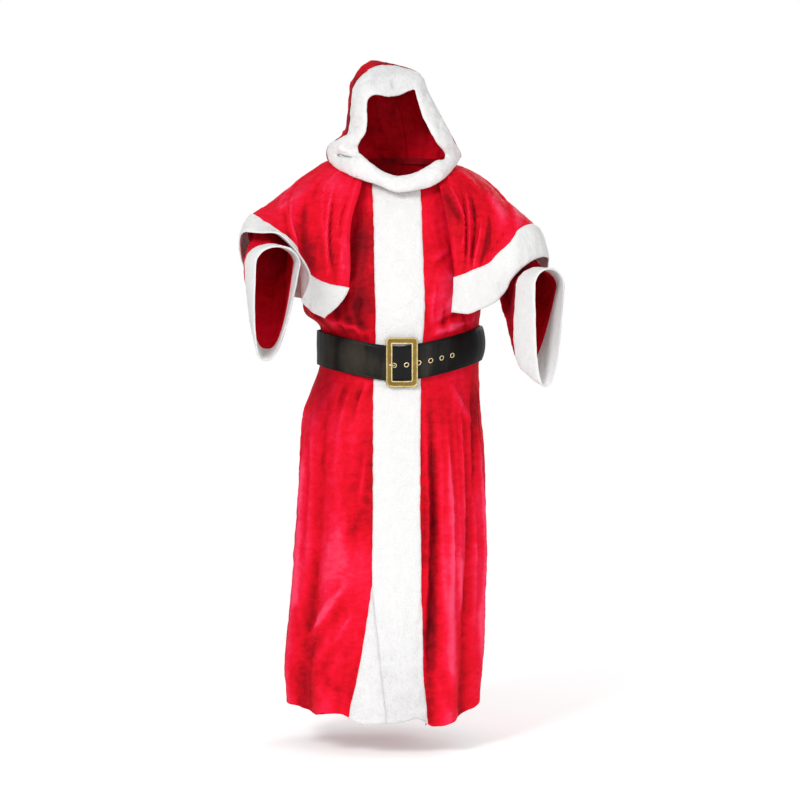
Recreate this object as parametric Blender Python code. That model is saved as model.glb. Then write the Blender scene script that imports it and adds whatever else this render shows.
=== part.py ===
"""Santa suit: a floor-length hooded velvet robe with bell sleeves, an elbow-length capelet,
plush bands and a wide buckled belt, holding the hollow form of the way it is worn.

Metres, +Z up, front towards -Y. The origin is at the base of the neck, between the shoulders.
"Right" and "left" are the wearer's, so the right side lies towards -X.
Tables are in millimetres and degrees; a surface function turns them into metres.
"""
import math
from collections import namedtuple

import bmesh
import bpy
from mathutils import Vector

MM = 0.001

# Cloth and trim, thickness in metres
VELVET = 0.002
PLUSH = 0.0055
PLUSH_RISE = 0.0035          # how far plush stands above the velvet beside it
UNDER_PLUSH = 0.0042         # the hidden band, pressed flat
LAYER_GAP = 0.0012           # between cloth layers that lie on each other
SEAM_GAP = 0.00035           # between pieces that are sewn edge to edge
CAPE_GAP = 0.0009            # the same where the seam twists over the arms
ARMHOLE_GAP = 0.0009         # and round the armhole

# Belt and buckle
BELT_HEIGHT = 0.0905
BELT_THICKNESS = 0.004
BELT_REST = 0.0006           # belt to velvet
BELT_END_GAP = 0.25          # degrees from the hidden joint behind the buckle's bar to each end
BELT_OVER_BAND = 0.0046      # extra where the belt crosses the plush band
BAND_HALF_REACH = 0.072      # to each side of the front the belt stands off this far
BAND_STEP_DOWN = 0.042       # and comes down to the robe over this length
BELT_OFF_HIP = 0.005         # its middle line stands off this much more at the left hip
BELT_BOW = 0.009             # and its edges lie this much closer than its middle there
HIP_START = 0.10             # both begin this far along X
HIP_REACH = 0.10             # and are whole after this much more
WAIST_RADIUS = 0.22          # of the belt where the buckle lies
BUCKLE_WIDTH = 0.081
BUCKLE_HEIGHT = 0.127
BUCKLE_BAR = 0.0165
BUCKLE_DEPTH = 0.005
BUCKLE_BEVEL = 0.0012        # the frame's outer and window edges are this much lower
BUCKLE_BEVEL_SHARE = 0.12    # of the bar's width
BUCKLE_CENTRE = 0.005        # along X
PRONG_DEPTH = 0.003
EYELET_RADIUS = 0.007
EYELET_HOLE = 0.0036
EYELET_DEPTH = 0.0012
EYELET_FIRST = -0.0195       # first eyelet, along the belt from the buckle's centre
EYELET_SPACING = 0.031
EYELET_COUNT = 6
EYELET_DOWN = 0.0042         # below the belt's middle line
DRILL_LENGTH = 0.03
ROUND_SEGMENTS = 12          # of an eyelet and its hole

# ---------------------------------------------------------------- robe body
# One ring of the robe for each height: z at the side, front and back, and how far it reaches.
Ring = namedtuple("Ring", "side front back right left ahead behind")
RINGS = [
    Ring(-1415, -1446, -1425, -302, 210, -238, 205),    # 0 hem
    Ring(-1325, -1330, -1325, -308, 217, -236, 203),    # 1 calf
    Ring(-1206, -1206, -1206, -296, 219, -230, 198),    # 2 shin
    Ring(-1040, -1040, -1040, -280, 228, -222, 190),    # 3 knee
    Ring(-888, -888, -888, -268, 226, -214, 182),       # 4 thigh
    Ring(-755, -758, -750, -262, 219, -206, 174),       # 5 hip
    Ring(-640, -655, -620, -249, 212, -196, 163),       # 6 seat
    Ring(-531, -571, -498, -212, 208, -179, 142),       # 7 under the belt
    Ring(-479, -519, -446, -215, 217, -182, 146),       # 8 waist
    Ring(-427, -467, -394, -211, 208, -179, 142),       # 9 over the belt
    Ring(-388, -400, -365, -253, 212, -190, 160),       # 10 blouse
    Ring(-325, -335, -315, -250, 214, -186, 158),       # 11 ribs
    Ring(-255, -262, -250, -226, 208, -176, 148),       # 12 underarm
    Ring(-140, -168, -140, -208, 202, -152, 130),       # 13 chest
    Ring(-28, -98, -42, -190, 186, -126, 104),          # 14 shoulder tip
    Ring(-12, -70, -13, -150, 148, -115, 94),             # 15 shoulder
    Ring(6, -46, 15, -108, 106, -104, 82),              # 16 neck
]
HEM, BELT_UNDER, WAIST, BELT_OVER, UNDERARM, CHEST, SHOULDER_TIP, NECK = 0, 7, 8, 9, 12, 13, 14, 16
ROUNDNESS = 2.25             # superellipse exponent of a ring
SIDE_SEAM = 90.0             # degrees from the front centre
ARMHOLE_REACH = 33.0         # degrees that the armhole takes from front and back at chest height

# Height of the hem round the robe
Hem = namedtuple("Hem", "angle z")
HEM_LINE = [
    Hem(-180, -1425), Hem(-125, -1418), Hem(-90, -1405), Hem(-60, -1412), Hem(-38, -1428),
    Hem(-22, -1422), Hem(-9, -1446), Hem(8, -1440), Hem(18, -1430), Hem(30, -1456),
    Hem(45, -1447), Hem(62, -1424), Hem(82, -1396), Hem(115, -1408), Hem(180, -1425),
]

# Skirt and bodice folds: a soft ridge (+) or trough (-), strongest at its foot
Fold = namedtuple("Fold", "angle width depth foot head")
FOLDS = [
    Fold(-150, 9, 13, 0, 7), Fold(-128, 8, -11, 0, 6.6), Fold(-108, 9, 12, 0, 7), Fold(-84, 8, -9, 0, 6.4),
    Fold(-66, 8, 12, 0, 6.6), Fold(-49, 7, -12, 0, 6.9), Fold(-34, 7, 9, 0, 6.2),
    Fold(26, 7, -10, 0, 6.8), Fold(38, 7, 14, 0, 7), Fold(53, 6, -13, 0, 6.6), Fold(70, 8, 11, 0, 7),
    Fold(92, 8, -10, 0, 6.5), Fold(113, 9, 12, 0, 7), Fold(136, 8, -12, 0, 6.8), Fold(160, 9, 11, 0, 7),
    Fold(178, 7, -9, 0, 6.7),
    Fold(-72, 9, 6, 10, 12), Fold(-40, 8, -5, 10, 12.4), Fold(36, 8, 5, 10, 12.4), Fold(60, 7, -5, 10, 12),
    Fold(125, 10, 6, 10, 12.6), Fold(160, 9, -6, 10, 12.8), Fold(-125, 10, -6, 10, 12.6), Fold(-160, 9, 6, 10, 12.8),
]
FOLD_FADE = 1.4              # how soon a fold dies away towards its head
BODICE_FOLD_RISE = 0.8       # rows above the belt in which a bodice fold swells up
BODICE_FOLD_GAIN = 2         # makes up for the fade at both its ends

# Centre-front bands, x at each height: right velvet seam, free edge of the upper band, left velvet seam
Band = namedtuple("Band", "z right_seam free_edge left_seam")
BAND_EDGES = [
    Band(-1450, -133, -33, 75), Band(-1325, -109, -45, 60), Band(-1206, -88, -58, 57.5),
    Band(-1100, -73, -69, 55), Band(-1040, -66, -69, 53), Band(-888, -64, -67.5, 50),
    Band(-570, -63.5, -67, 52), Band(-460, -57, -60.5, 57), Band(-380, -57, -60.5, 63),
    Band(-290, -60, -63.5, 59), Band(-110, -64, -67.5, 53), Band(-40, -70, -74, 48),
]
UNDER_BAND_WIDTH = 118       # of the right band, most of it hidden
UNDER_BAND_MARGIN = 8        # its hidden edge stops this far from the left seam
TUCK = -0.0036               # how far the right front dips to pass under the upper band
TUCK_START = 40.0            # degrees outside the seam where the dip begins

# ---------------------------------------------------------------- sleeves
# One ring for each station: arm centre, reach above and below it, half widths at the arm and low down,
# and how far the hanging foot sways towards the body.
Station = namedtuple("Station", "x y z above below wide low sway")
SLEEVES = {
    "right": [
        Station(-248, -40, -102, 48, 140, 53, 50, 0),
        Station(-293, -87, -162, 45, 110, 50, 48, 0),
        Station(-333, -152, -220, 54, 104, 52, 46, 6),
        Station(-335, -235, -255, 50, 160, 60, 46, 0),
        Station(-326, -315, -268, 47, 215, 62, 42, -8),
        Station(-303, -385, -272, 45, 236, 57, 38, -30),
    ],
    "left": [
        Station(246, -40, -130, 43, 150, 56, 54, 0),
        Station(276, -60, -196, 47, 108, 52, 50, 0),
        Station(308, -116, -284, 50, 92, 52, 46, 14),
        Station(337, -200, -325, 47, 124, 53, 44, 34),
        Station(345, -292, -326, 46, 200, 53, 40, 30),
        Station(371, -360, -326, 44, 248, 40, 31, 8),
    ],
}
RING_TILT = 0.5              # rings lean this share of the arm's slope, since the sleeve hangs
HANG_ROUNDNESS = 0.7         # exponent of the hanging half of a ring
SLEEVE_CUFF = 5              # station where velvet ends and the cuff begins, counting the armhole as 0
SLEEVE_END = 6

# ---------------------------------------------------------------- capelet
# One rib for each section, from the neck edge out: the angle where it leaves the neck, then three points
# on the velvet and one on the hem of the plush band.
Rib = namedtuple("Rib", "neck sx sy sz mx my mz ex ey ez hx hy hz")
RIBS = [
    Rib(-52, -104, -146, -76, -126, -180, -170, -132, -200, -329, -193, -214, -404),   # right front edge
    Rib(-60, -140, -132, -62, -176, -192, -180, -197, -222, -313, -217, -234, -388),
    Rib(-68, -176, -108, -42, -232, -196, -150, -247, -243, -281, -249, -257, -364),
    Rib(-76, -194, -76, -22, -268, -176, -116, -264, -262, -222, -228, -294, -294),
    Rib(-83, -199, -42, -6, -292, -134, -98, -306, -252, -186, -290, -340, -202),      # over the forearm
    Rib(-90, -200, -10, 4, -306, -98, -88, -347, -215, -158, -352, -300, -190),
    Rib(-98, -196, 20, 5, -312, -62, -86, -383, -166, -142, -404, -240, -192),         # outer ridge
    Rib(-110, -184, 50, -1, -320, 4, -102, -396, -104, -198, -404, -156, -266),
    Rib(-128, -150, 84, -8, -286, 62, -124, -356, -2, -234, -368, -22, -322),
    Rib(-146, -102, 108, -22, -188, 118, -130, -250, 98, -262, -268, 92, -350),
    Rib(-163, -52, 120, -28, -96, 144, -132, -126, 160, -270, -136, 164, -361),
    Rib(-180, 0, 122, -30, 0, 152, -132, 0, 176, -272, 0, 182, -365),                  # centre back
    Rib(-197, 52, 120, -28, 94, 142, -132, 124, 158, -270, 133, 162, -361),
    Rib(-214, 100, 108, -22, 180, 114, -134, 242, 94, -264, 258, 88, -353),
    Rib(-232, 148, 82, -16, 286, 44, -134, 344, -8, -242, 356, -24, -330),
    Rib(-250, 178, 48, -16, 308, -20, -120, 364, -100, -190, 384, -130, -262),
    Rib(-262, 190, 14, -18, 282, -74, -103, 341, -166, -165, 367, -198, -246),            # outer ridge
    Rib(-270, 192, -18, -20, 273, -114, -104, 303, -212, -180, 322, -246, -266),
    Rib(-277, 192, -50, -26, 262, -146, -113, 281, -238, -212, 284, -267, -303),
    Rib(-284, 184, -82, -34, 238, -172, -132, 249, -242, -241, 263, -256, -339),
    Rib(-292, 164, -110, -44, 206, -186, -154, 213, -230, -273, 224, -242, -372),
    Rib(-300, 136, -134, -66, 166, -188, -184, 175, -213, -288, 177, -224, -391),
    Rib(-308, 108, -146, -92, 127, -180, -198, 138, -196, -302, 133, -206, -388),      # left front edge
]
CAPE_EDGE, CAPE_HEM, CENTRE_BACK = 3, 4, 11
NECK_LAYER = 0.0026          # the capelet's neck edge, outside the robe's
NECK_TURN_STEP, NECK_ROW_STEP = 0.5, 0.02    # degrees and rows over which the neck's slope is taken

# Capelet folds: rib position, width in ribs, depth in millimetres at the hem
Drape = namedtuple("Drape", "rib width depth")
DRAPES = [
    Drape(0.9, 0.35, 7), Drape(1.7, 0.3, -8), Drape(8.5, 0.4, 9), Drape(9.4, 0.35, -8),
    Drape(10.4, 0.4, 9), Drape(11.4, 0.35, -7), Drape(12.4, 0.4, 9), Drape(13.4, 0.35, -8),
    Drape(14.2, 0.4, 8), Drape(19.6, 0.35, 6), Drape(20.5, 0.3, -7), Drape(21.3, 0.35, 7),
]

# ---------------------------------------------------------------- hood
# Band round face and neckline: inner edge and outer edge, from the crown down the left side and back up.
Trim = namedtuple("Trim", "ix iy iz ox oy oz")
FACE_BAND = [
    Trim(-16, -128, 171, -38, -62, 258),       # crown
    Trim(36, -126, 190, 48, -64, 236),
    Trim(50, -124, 163, 78, -66, 180),
    Trim(65, -122, 115, 115, -66, 111),
    Trim(97, -120, 54, 148, -62, 50),
    Trim(122, -93, 16, 161, -41, 15),          # left corner
    Trim(92, -120, 3, 121, -124, -39),
    Trim(48, -138, -24, 70, -150, -68),
    Trim(-5, -144, -36, -5, -160, -80),        # front of the neck
    Trim(-54, -138, -18, -64, -150, -60),
    Trim(-98, -120, 16, -133, -119, -34),
    Trim(-113, -104, 30, -189, -50, 6),        # right lobe
    Trim(-108, -114, 52, -188, -40, 49),
    Trim(-92, -122, 84, -141, -60, 76),
    Trim(-91, -123, 132, -132, -64, 135),
    Trim(-88, -125, 159, -124, -66, 195),
    Trim(-66, -127, 175, -92, -64, 238),
]
BAND_BULGE = 0.007           # how far the face band rounds out between its edges
FACE_BAND_DEPTH = 0.008
FACE_BAND_STEPS = 3          # facets from row to row, the same along the hood's edge
HOOD_FIRST_ROW = 11          # row of FACE_BAND where the hood's edge begins; it ends past the last row
HOOD_CROWN = 6               # rows from the first of them to the crown
HOOD_END = 11                # rows from the first of them to the last
HOOD_FACE_GAP = 0.001        # between the band and the hood behind it
HOOD_CORNER_GAP = 0.0024     # more of it at the two lower corners, where the edge turns
HOOD_NECK_RIBS = (3.0, 18.5) # ribs of the capelet's neck edge that carry the hood
# How the hood leaves the face band, by place along its edge: it stands up in a peak right of the crown,
# and on the left and at the lobe it goes in behind the band.
Brow = namedtuple("Brow", "side up")
HOOD_BROW = [
    Brow(-3, 0), Brow(-2, 2), Brow(-16, 8), Brow(-19, 26), Brow(-16, 70), Brow(0, 106), Brow(-18, 48),
    Brow(-16, 9), Brow(-10, 0), Brow(-8, 0), Brow(-8, 0), Brow(-8, 0),
]
HOOD_DEEP = 0.05             # how far back each line starts out, and how much further at the crown
HOOD_DEEPER = 0.06
HOOD_NAPE = Vector((0, 0.035, 0.012))        # how every line comes in to the neck: from behind, a little above
HOOD_CROWN_GAP = 0.006       # from the crown to each half's seam edge, in places
HOOD_NECK_GAP = 0.00075      # above the capelet's neck edge

MATERIALS = {
    "velvet": ((0.62, 0.01, 0.03, 1), 0.75, 0.0),
    "plush": ((0.88, 0.88, 0.88, 1), 0.95, 0.0),
    "leather": ((0.012, 0.011, 0.009, 1), 0.4, 0.0),
    "brass": ((0.55, 0.38, 0.12, 1), 0.35, 1.0),
}


# ---------------------------------------------------------------- belt and prong
# The belt's middle line over the waist ring on the front: down at the buckle, up at the left hip.
Lift = namedtuple("Lift", "x z")
BELT_LIFT = [Lift(-222, -4), Lift(-155, 2), Lift(-103, 2.5), Lift(-51, -1), Lift(0, -4),
             Lift(54, 3), Lift(85, 6), Lift(116, 8.5), Lift(151, 9.5), Lift(227, 8)]

# The prong from its root on the buckle's bar to its tip in the first eyelet: along from the
# eyelet's centre, half its width, and its underside's share of the height it has over the bar.
Prong = namedtuple("Prong", "along half over")
PRONG = [Prong(-14, 1.8, 1), Prong(-9, 2.2, 1), Prong(-4.5, 2.0, 1), Prong(-2, 1.8, 0.62),
         Prong(0, 1.6, 0.1), Prong(1.8, 1.4, 0.1)]

# ---------------------------------------------------------------- curves and surfaces
def spline(rows, place, closed=False):
    """Catmull-Rom through rows of numbers; place counts rows from 0."""
    count = len(rows)
    start = math.floor(place)
    if not closed:
        start = min(max(start, 0), count - 2)
    part = place - start

    def row(index):
        return rows[index % count] if closed else rows[min(max(index, 0), count - 1)]

    before, first, second, after = (row(start + step) for step in (-1, 0, 1, 2))
    return [
        0.5 * (2 * b + (c - a) * part + (2 * a - 5 * b + 4 * c - d) * part ** 2
               + (3 * b - a - 3 * c + d) * part ** 3)
        for a, b, c, d in zip(before, first, second, after)
    ]


def between(rows, key, value, field):
    """A table's field at a value of its key column, straight between rows."""
    ordered = sorted(rows, key=lambda row: getattr(row, key))
    if value <= getattr(ordered[0], key):
        return getattr(ordered[0], field)
    for low, high in zip(ordered, ordered[1:]):
        if value <= getattr(high, key):
            part = (value - getattr(low, key)) / (getattr(high, key) - getattr(low, key))
            return getattr(low, field) + part * (getattr(high, field) - getattr(low, field))
    return getattr(ordered[-1], field)


def steps(start, end, count):
    return [start + (end - start) * index / count for index in range(count + 1)]


def smooth(value):
    value = min(max(value, 0.0), 1.0)
    return value * value * (3 - 2 * value)


def bell(distance, width):
    return math.exp(-(distance / width) ** 2)


def moved_out(surface, u, v, out, du=0.01, dv=0.01):
    """A surface point moved along the surface's normal."""
    point = surface(u, v)
    along = surface(u + du, v) - surface(u - du, v)
    across = surface(u, v + dv) - surface(u, v - dv)
    return point + along.cross(across).normalized() * out


def wrap(angle):
    return (angle + 180.0) % 360.0 - 180.0


def fold_height(angle, row):
    total = 0.0
    for fold in FOLDS:
        if fold.foot <= row <= fold.head:
            fade = smooth((fold.head - row) / (fold.head - fold.foot) * FOLD_FADE)
            if fold.foot > HEM:
                fade *= smooth((row - fold.foot) / BODICE_FOLD_RISE) * BODICE_FOLD_GAIN
            total += fold.depth * fade * bell(wrap(angle - fold.angle), fold.width)
    return total * MM


def body(angle, row):
    """The robe's outer surface: degrees from the front centre, place in RINGS."""
    ring = Ring(*spline(RINGS, row))
    turn = math.radians(angle)
    sine, cosine = math.sin(turn), math.cos(turn)
    sideways = math.copysign(abs(sine) ** (2 / ROUNDNESS), sine)
    forward = math.copysign(abs(cosine) ** (2 / ROUNDNESS), cosine)
    x = (ring.right + ring.left) / 2 + (ring.left - ring.right) / 2 * sideways
    y = (ring.ahead + ring.behind) / 2 - (ring.behind - ring.ahead) / 2 * forward
    if row < 1:
        ring = RINGS[1]
    z = ring.side + ((ring.front if cosine > 0 else ring.back) - ring.side) * cosine ** 2
    if row < 1:
        hem = between(HEM_LINE, "angle", wrap(angle), "z")
        z = hem + (z - hem) * row
    swell = fold_height(angle, row)
    return Vector((x * MM + swell * sine, y * MM - swell * cosine, z * MM))


def angle_at(x_mm, row):
    """The angle on the robe's front where x is reached."""
    ring = Ring(*spline(RINGS, row))
    sideways = (x_mm - (ring.right + ring.left) / 2) / ((ring.left - ring.right) / 2)
    return math.degrees(math.copysign(math.asin(min(abs(sideways), 1) ** (ROUNDNESS / 2)), sideways))


def seam_angle(field, row):
    height = Ring(*spline(RINGS, row)).front
    return angle_at(between(BAND_EDGES, "z", height, field), row)


def inset(angle, row, gap):
    """Degrees that cover a gap along the robe's ring."""
    speed = (body(angle + 0.5, row) - body(angle - 0.5, row)).length
    return gap / speed


def armhole(row):
    """Degrees that the armhole takes from the side seam at this row."""
    place = (row - UNDERARM) / (SHOULDER_TIP - UNDERARM) * 2 - 1
    return ARMHOLE_REACH * math.sqrt(max(0.0, 1 - place * place))


# ---------------------------------------------------------------- making objects
def material(name):
    found = bpy.data.materials.get(name)
    if found:
        return found
    colour, roughness, metallic = MATERIALS[name]
    made = bpy.data.materials.new(name)
    made.use_nodes = True
    shader = made.node_tree.nodes["Principled BSDF"]
    shader.inputs["Base Color"].default_value = colour
    shader.inputs["Roughness"].default_value = roughness
    shader.inputs["Metallic"].default_value = metallic
    made.diffuse_color = colour
    return made


def add_object(name, mesh, collection, finish):
    made = bpy.data.objects.new(name, mesh)
    mesh.materials.append(material(finish))
    collection.objects.link(made)
    mesh.shade_smooth()
    return made


def wall(name, surface, places, collection, finish, outer, inner, closed=False, normal=None):
    """A cloth wall between two offsets of one surface, lofted through rows of places on it.

    Both sides follow the surface's own normals, so pieces that meet at a seam have parallel edges.
    A stiff piece has one normal instead.
    """
    def place(u, v, out):
        out = out(u, v) if callable(out) else out
        return surface(u, v) + normal * out if normal else moved_out(surface, u, v, out)

    work = bmesh.new()
    sides = [[[work.verts.new(place(u, v, out)) for u, v in row] for row in places] for out in (outer, inner)]
    front, back = sides
    length = len(front[0])
    columns = range(length if closed else length - 1)
    for lower in range(len(front) - 1):
        for index in columns:
            after = (index + 1) % length
            work.faces.new((front[lower][index], front[lower][after],
                            front[lower + 1][after], front[lower + 1][index]))
            work.faces.new((back[lower][index], back[lower + 1][index],
                            back[lower + 1][after], back[lower][after]))
    for index in columns:
        after = (index + 1) % length
        work.faces.new((front[0][after], front[0][index], back[0][index], back[0][after]))
        work.faces.new((front[-1][index], front[-1][after], back[-1][after], back[-1][index]))
    if not closed:
        for lower in range(len(front) - 1):
            work.faces.new((front[lower][0], front[lower + 1][0], back[lower + 1][0], back[lower][0]))
            work.faces.new((front[lower + 1][-1], front[lower][-1], back[lower][-1], back[lower + 1][-1]))
    bmesh.ops.recalc_face_normals(work, faces=work.faces)
    mesh = bpy.data.meshes.new(name)
    work.to_mesh(mesh)
    work.free()
    return add_object(name, mesh, collection, finish)


# ---------------------------------------------------------------- the pieces
BODY_ROWS = (steps(HEM, 6, 9) + [6.5] + steps(BELT_UNDER, BELT_OVER, 2) + [9.5, 10, 10.6, 11.3])
ARM_ROWS = [UNDERARM + 1 - math.cos(math.pi * step / 9) for step in range(10)]
TOP_ROWS = steps(SHOULDER_TIP, NECK, 4)[1:]
ROBE_ROWS = BODY_ROWS + ARM_ROWS + TOP_ROWS


def robe_panel(name, start, end, columns, collection, dip=None):
    """A velvet panel between two edges, each an angle for every row."""
    places = [[(angle, row) for angle in steps(start(row), end(row), columns)] for row in ROBE_ROWS]
    if dip is None:
        return wall(name, body, places, collection, "velvet", 0.0, -VELVET)
    return wall(name, body, places, collection, "velvet", dip, lambda angle, row: dip(angle, row) - VELVET)


def make_robe(collection):
    def side(sign, row):
        edge = sign * (SIDE_SEAM - armhole(row))
        return edge - sign * inset(edge, row, SEAM_GAP)

    def right_seam(row):
        angle = seam_angle("right_seam", row)
        return angle - inset(angle, row, SEAM_GAP)

    def left_seam(row):
        angle = seam_angle("left_seam", row)
        return angle + inset(angle, row, SEAM_GAP)

    def back_edge(sign, row):
        edge = SIDE_SEAM + armhole(row)
        edge += inset(edge * sign, row, SEAM_GAP)
        return edge if sign > 0 else 360 - edge

    def dip(angle, row):
        return TUCK * smooth(1 - (right_seam(row) - angle) / TUCK_START)

    robe_panel("robe_front_right", lambda row: side(-1, row), right_seam, 12, collection, dip)
    robe_panel("robe_front_left", left_seam, lambda row: side(1, row), 12, collection)
    robe_panel("robe_back", lambda row: back_edge(1, row), lambda row: back_edge(-1, row), 22, collection)


def make_front_bands(collection):
    upper, under = [], []
    for row in ROBE_ROWS:
        height = Ring(*spline(RINGS, row)).front
        free = seam_angle("free_edge", row)
        left = seam_angle("left_seam", row)
        left -= inset(left, row, SEAM_GAP)
        upper.append([(angle, row) for angle in steps(free, left, 4)])
        seam = between(BAND_EDGES, "z", height, "right_seam")
        stop = between(BAND_EDGES, "z", height, "left_seam") - UNDER_BAND_MARGIN
        right = angle_at(seam, row)
        right += inset(right, row, SEAM_GAP)
        hidden = angle_at(min(seam + UNDER_BAND_WIDTH, stop), row)
        under.append([(angle, row) for angle in steps(right, hidden, 4)])
    wall("front_band_left", body, upper, collection, "plush", PLUSH_RISE, PLUSH_RISE - PLUSH)
    beneath = PLUSH_RISE - PLUSH - LAYER_GAP
    wall("front_band_right", body, under, collection, "plush", beneath, beneath - UNDER_PLUSH)


def sleeve_frames(side):
    """Centre, outward-up and towards-the-body directions at each station."""
    stations = SLEEVES[side]
    centres = [Vector((row.x, row.y, row.z)) * MM for row in stations]
    frames = []
    for index, centre in enumerate(centres):
        ahead = centres[min(index + 1, len(centres) - 1)] - centres[max(index - 1, 0)]
        ahead.z *= RING_TILT
        ahead.normalize()
        up = (Vector((0, 0, 1)) - ahead * ahead.z).normalized()
        inward = ahead.cross(up) if side == "left" else up.cross(ahead)
        frames.append((centre, up, inward))
    return frames


def sleeve_ring(side, index, turn):
    """A point of one station's ring: turn 0 at the top, 90 towards the front and the body, 180 at the foot."""
    row = SLEEVES[side][index]
    centre, up, inward = sleeve_frames(side)[index]
    sine, cosine = math.sin(math.radians(turn)), math.cos(math.radians(turn))
    if cosine >= 0:
        return centre + (up * row.above * cosine + inward * row.wide * sine) * MM
    hang = abs(cosine) ** HANG_ROUNDNESS
    wide = (row.wide + (row.low - row.wide) * hang) * math.copysign(abs(sine) ** HANG_ROUNDNESS, sine)
    return centre + (Vector((0, 0, -row.below * hang)) + inward * (wide + row.sway * hang)) * MM


def armhole_point(side, turn):
    """The same turn on the robe's armhole, a seam gap inside it."""
    sign = -1 if side == "right" else 1
    row = UNDERARM + 1 + math.cos(math.radians(turn))
    angle = SIDE_SEAM - ARMHOLE_REACH * math.sin(math.radians(turn))
    point = body(sign * angle, row)
    middle = body(sign * SIDE_SEAM, CHEST)
    return point + (middle - point).normalized() * ARMHOLE_GAP


def sleeve(side):
    def surface(turn, place):
        rings = [armhole_point(side, turn)] + [sleeve_ring(side, index, turn) for index in range(len(SLEEVES[side]))]
        return Vector(spline(rings, place))
    return surface


def make_sleeves(collection):
    for side in ("right", "left"):
        surface = sleeve(side)
        turn_way = 1 if side == "left" else -1
        turns = [turn * turn_way for turn in steps(0, 360, 18)[:-1]]
        gap = SEAM_GAP / (surface(180, SLEEVE_END) - surface(180, SLEEVE_CUFF)).length
        velvet = [[(turn, place) for turn in turns] for place in steps(0, SLEEVE_CUFF - gap, 10)]
        cuff = [[(turn, place) for turn in turns] for place in steps(SLEEVE_CUFF + gap, SLEEVE_END, 3)]
        wall("sleeve_" + side, surface, velvet, collection, "velvet", 0.0, -VELVET * turn_way, closed=True)
        wall("sleeve_cuff_" + side, surface, cuff, collection, "plush",
             PLUSH_RISE * turn_way, (PLUSH_RISE - PLUSH) * turn_way, closed=True)


def cape(rib, place):
    """The capelet's surface: place in RIBS, and 0 at the neck, 3 at the plush band, 4 at its hem."""
    row = Rib(*spline(RIBS, rib))
    neck = moved_out(body, row.neck, NECK, NECK_LAYER, NECK_TURN_STEP, NECK_ROW_STEP)
    rest = [Vector(row[start:start + 3]) * MM for start in (1, 4, 7, 10)]
    point = Vector(spline([neck] + rest, place))
    swell = sum(drape.depth * bell(rib - drape.rib, drape.width) for drape in DRAPES) * MM
    outward = Vector((point.x, point.y, 0)).normalized()
    return point + outward * swell * smooth(place / CAPE_HEM)


def make_capelet(collection):
    last = len(RIBS) - 1
    gap_place = CAPE_GAP / (cape(CENTRE_BACK, CAPE_HEM) - cape(CENTRE_BACK, CAPE_EDGE)).length / 2
    gap_rib = SEAM_GAP / (cape(CENTRE_BACK + 0.5, CAPE_EDGE) - cape(CENTRE_BACK - 0.5, CAPE_EDGE)).length
    for side, first, final in (("right", 0, CENTRE_BACK - gap_rib), ("left", CENTRE_BACK + gap_rib, last)):
        ribs = steps(first, final, 24)
        velvet = [[(rib, place) for rib in ribs] for place in steps(0, CAPE_EDGE - gap_place, 8)]
        band = [[(rib, place) for rib in ribs] for place in steps(CAPE_EDGE + gap_place, CAPE_HEM, 3)]
        wall("capelet_" + side, cape, velvet, collection, "velvet", 0.0, -VELVET)
        wall("capelet_band_" + side, cape, band, collection, "plush", PLUSH_RISE, PLUSH_RISE - PLUSH)


def face_band(place, across):
    """The band round face and neckline: place in FACE_BAND, 0 at the inner edge and 1 at the outer."""
    row = Trim(*spline(FACE_BAND, place, closed=True))
    inner, outer = Vector(row[:3]) * MM, Vector(row[3:]) * MM
    ahead = Trim(*spline(FACE_BAND, place + 0.05, closed=True))
    along = Vector(ahead[:3]) + Vector(ahead[3:]) - Vector(row[:3]) - Vector(row[3:])
    out = along.cross(outer - inner).normalized()
    return inner + (outer - inner) * across + out * BAND_BULGE * math.sin(math.pi * across)


def hood(place, back):
    """The hood: place along its face edge, 0 at the face and 1 at the neck."""
    face = face_band(HOOD_FIRST_ROW + place, 1)
    share = place / HOOD_END
    rib = HOOD_NECK_RIBS[0] + (HOOD_NECK_RIBS[1] - HOOD_NECK_RIBS[0]) * share
    neck = cape(rib, 0) + Vector((0, 0, HOOD_NECK_GAP))
    crown = math.sin(math.pi * share)
    outward = -math.cos(math.pi * share)
    rise = smooth(crown * 2)
    side, up = spline(HOOD_BROW, place)
    first = face + Vector((side * MM, HOOD_DEEP + HOOD_DEEPER * crown, up * MM))
    second = neck + HOOD_NAPE + Vector((0.035 * outward, 0.085 * crown, 0.038 * rise + 0.09 * crown))
    rest = 1 - back
    return face * rest ** 3 + first * 3 * rest ** 2 * back + second * 3 * rest * back ** 2 + neck * back ** 3


def hood_start(place):
    """The share of the way back at which the hood clears the face band."""
    corner = 1 - smooth(min(place, HOOD_END - place) / 1.5)
    gap = HOOD_FACE_GAP + HOOD_CORNER_GAP * corner
    return 0.01 * gap / (hood(place, 0.01) - hood(place, 0)).length


def make_hood(collection):
    halves = (("right", 0, HOOD_CROWN - HOOD_CROWN_GAP), ("left", HOOD_CROWN + HOOD_CROWN_GAP, HOOD_END))
    for side, first, final in halves:
        columns = round(final - first) * FACE_BAND_STEPS
        places = [[(place, hood_start(place) * (1 - back) + back) for place in steps(first, final, columns)]
                  for back in steps(0, 1, 8)]
        wall("hood_" + side, hood, places, collection, "velvet", 0.0, -VELVET)
    rows = len(FACE_BAND)
    places = [[(place, across) for place in steps(0, rows, rows * FACE_BAND_STEPS)[:-1]] for across in steps(0, 1, 4)]
    wall("face_band", face_band, places, collection, "plush", 0.0, -FACE_BAND_DEPTH, closed=True)


# ---------------------------------------------------------------- belt and buckle
def belt_stand_off(angle):
    x = body(angle, WAIST).x
    front = 1 if math.cos(math.radians(angle)) > 0 else 0
    return BELT_REST + front * BELT_OVER_BAND * (1 - smooth((abs(x) - BAND_HALF_REACH) / BAND_STEP_DOWN))


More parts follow.
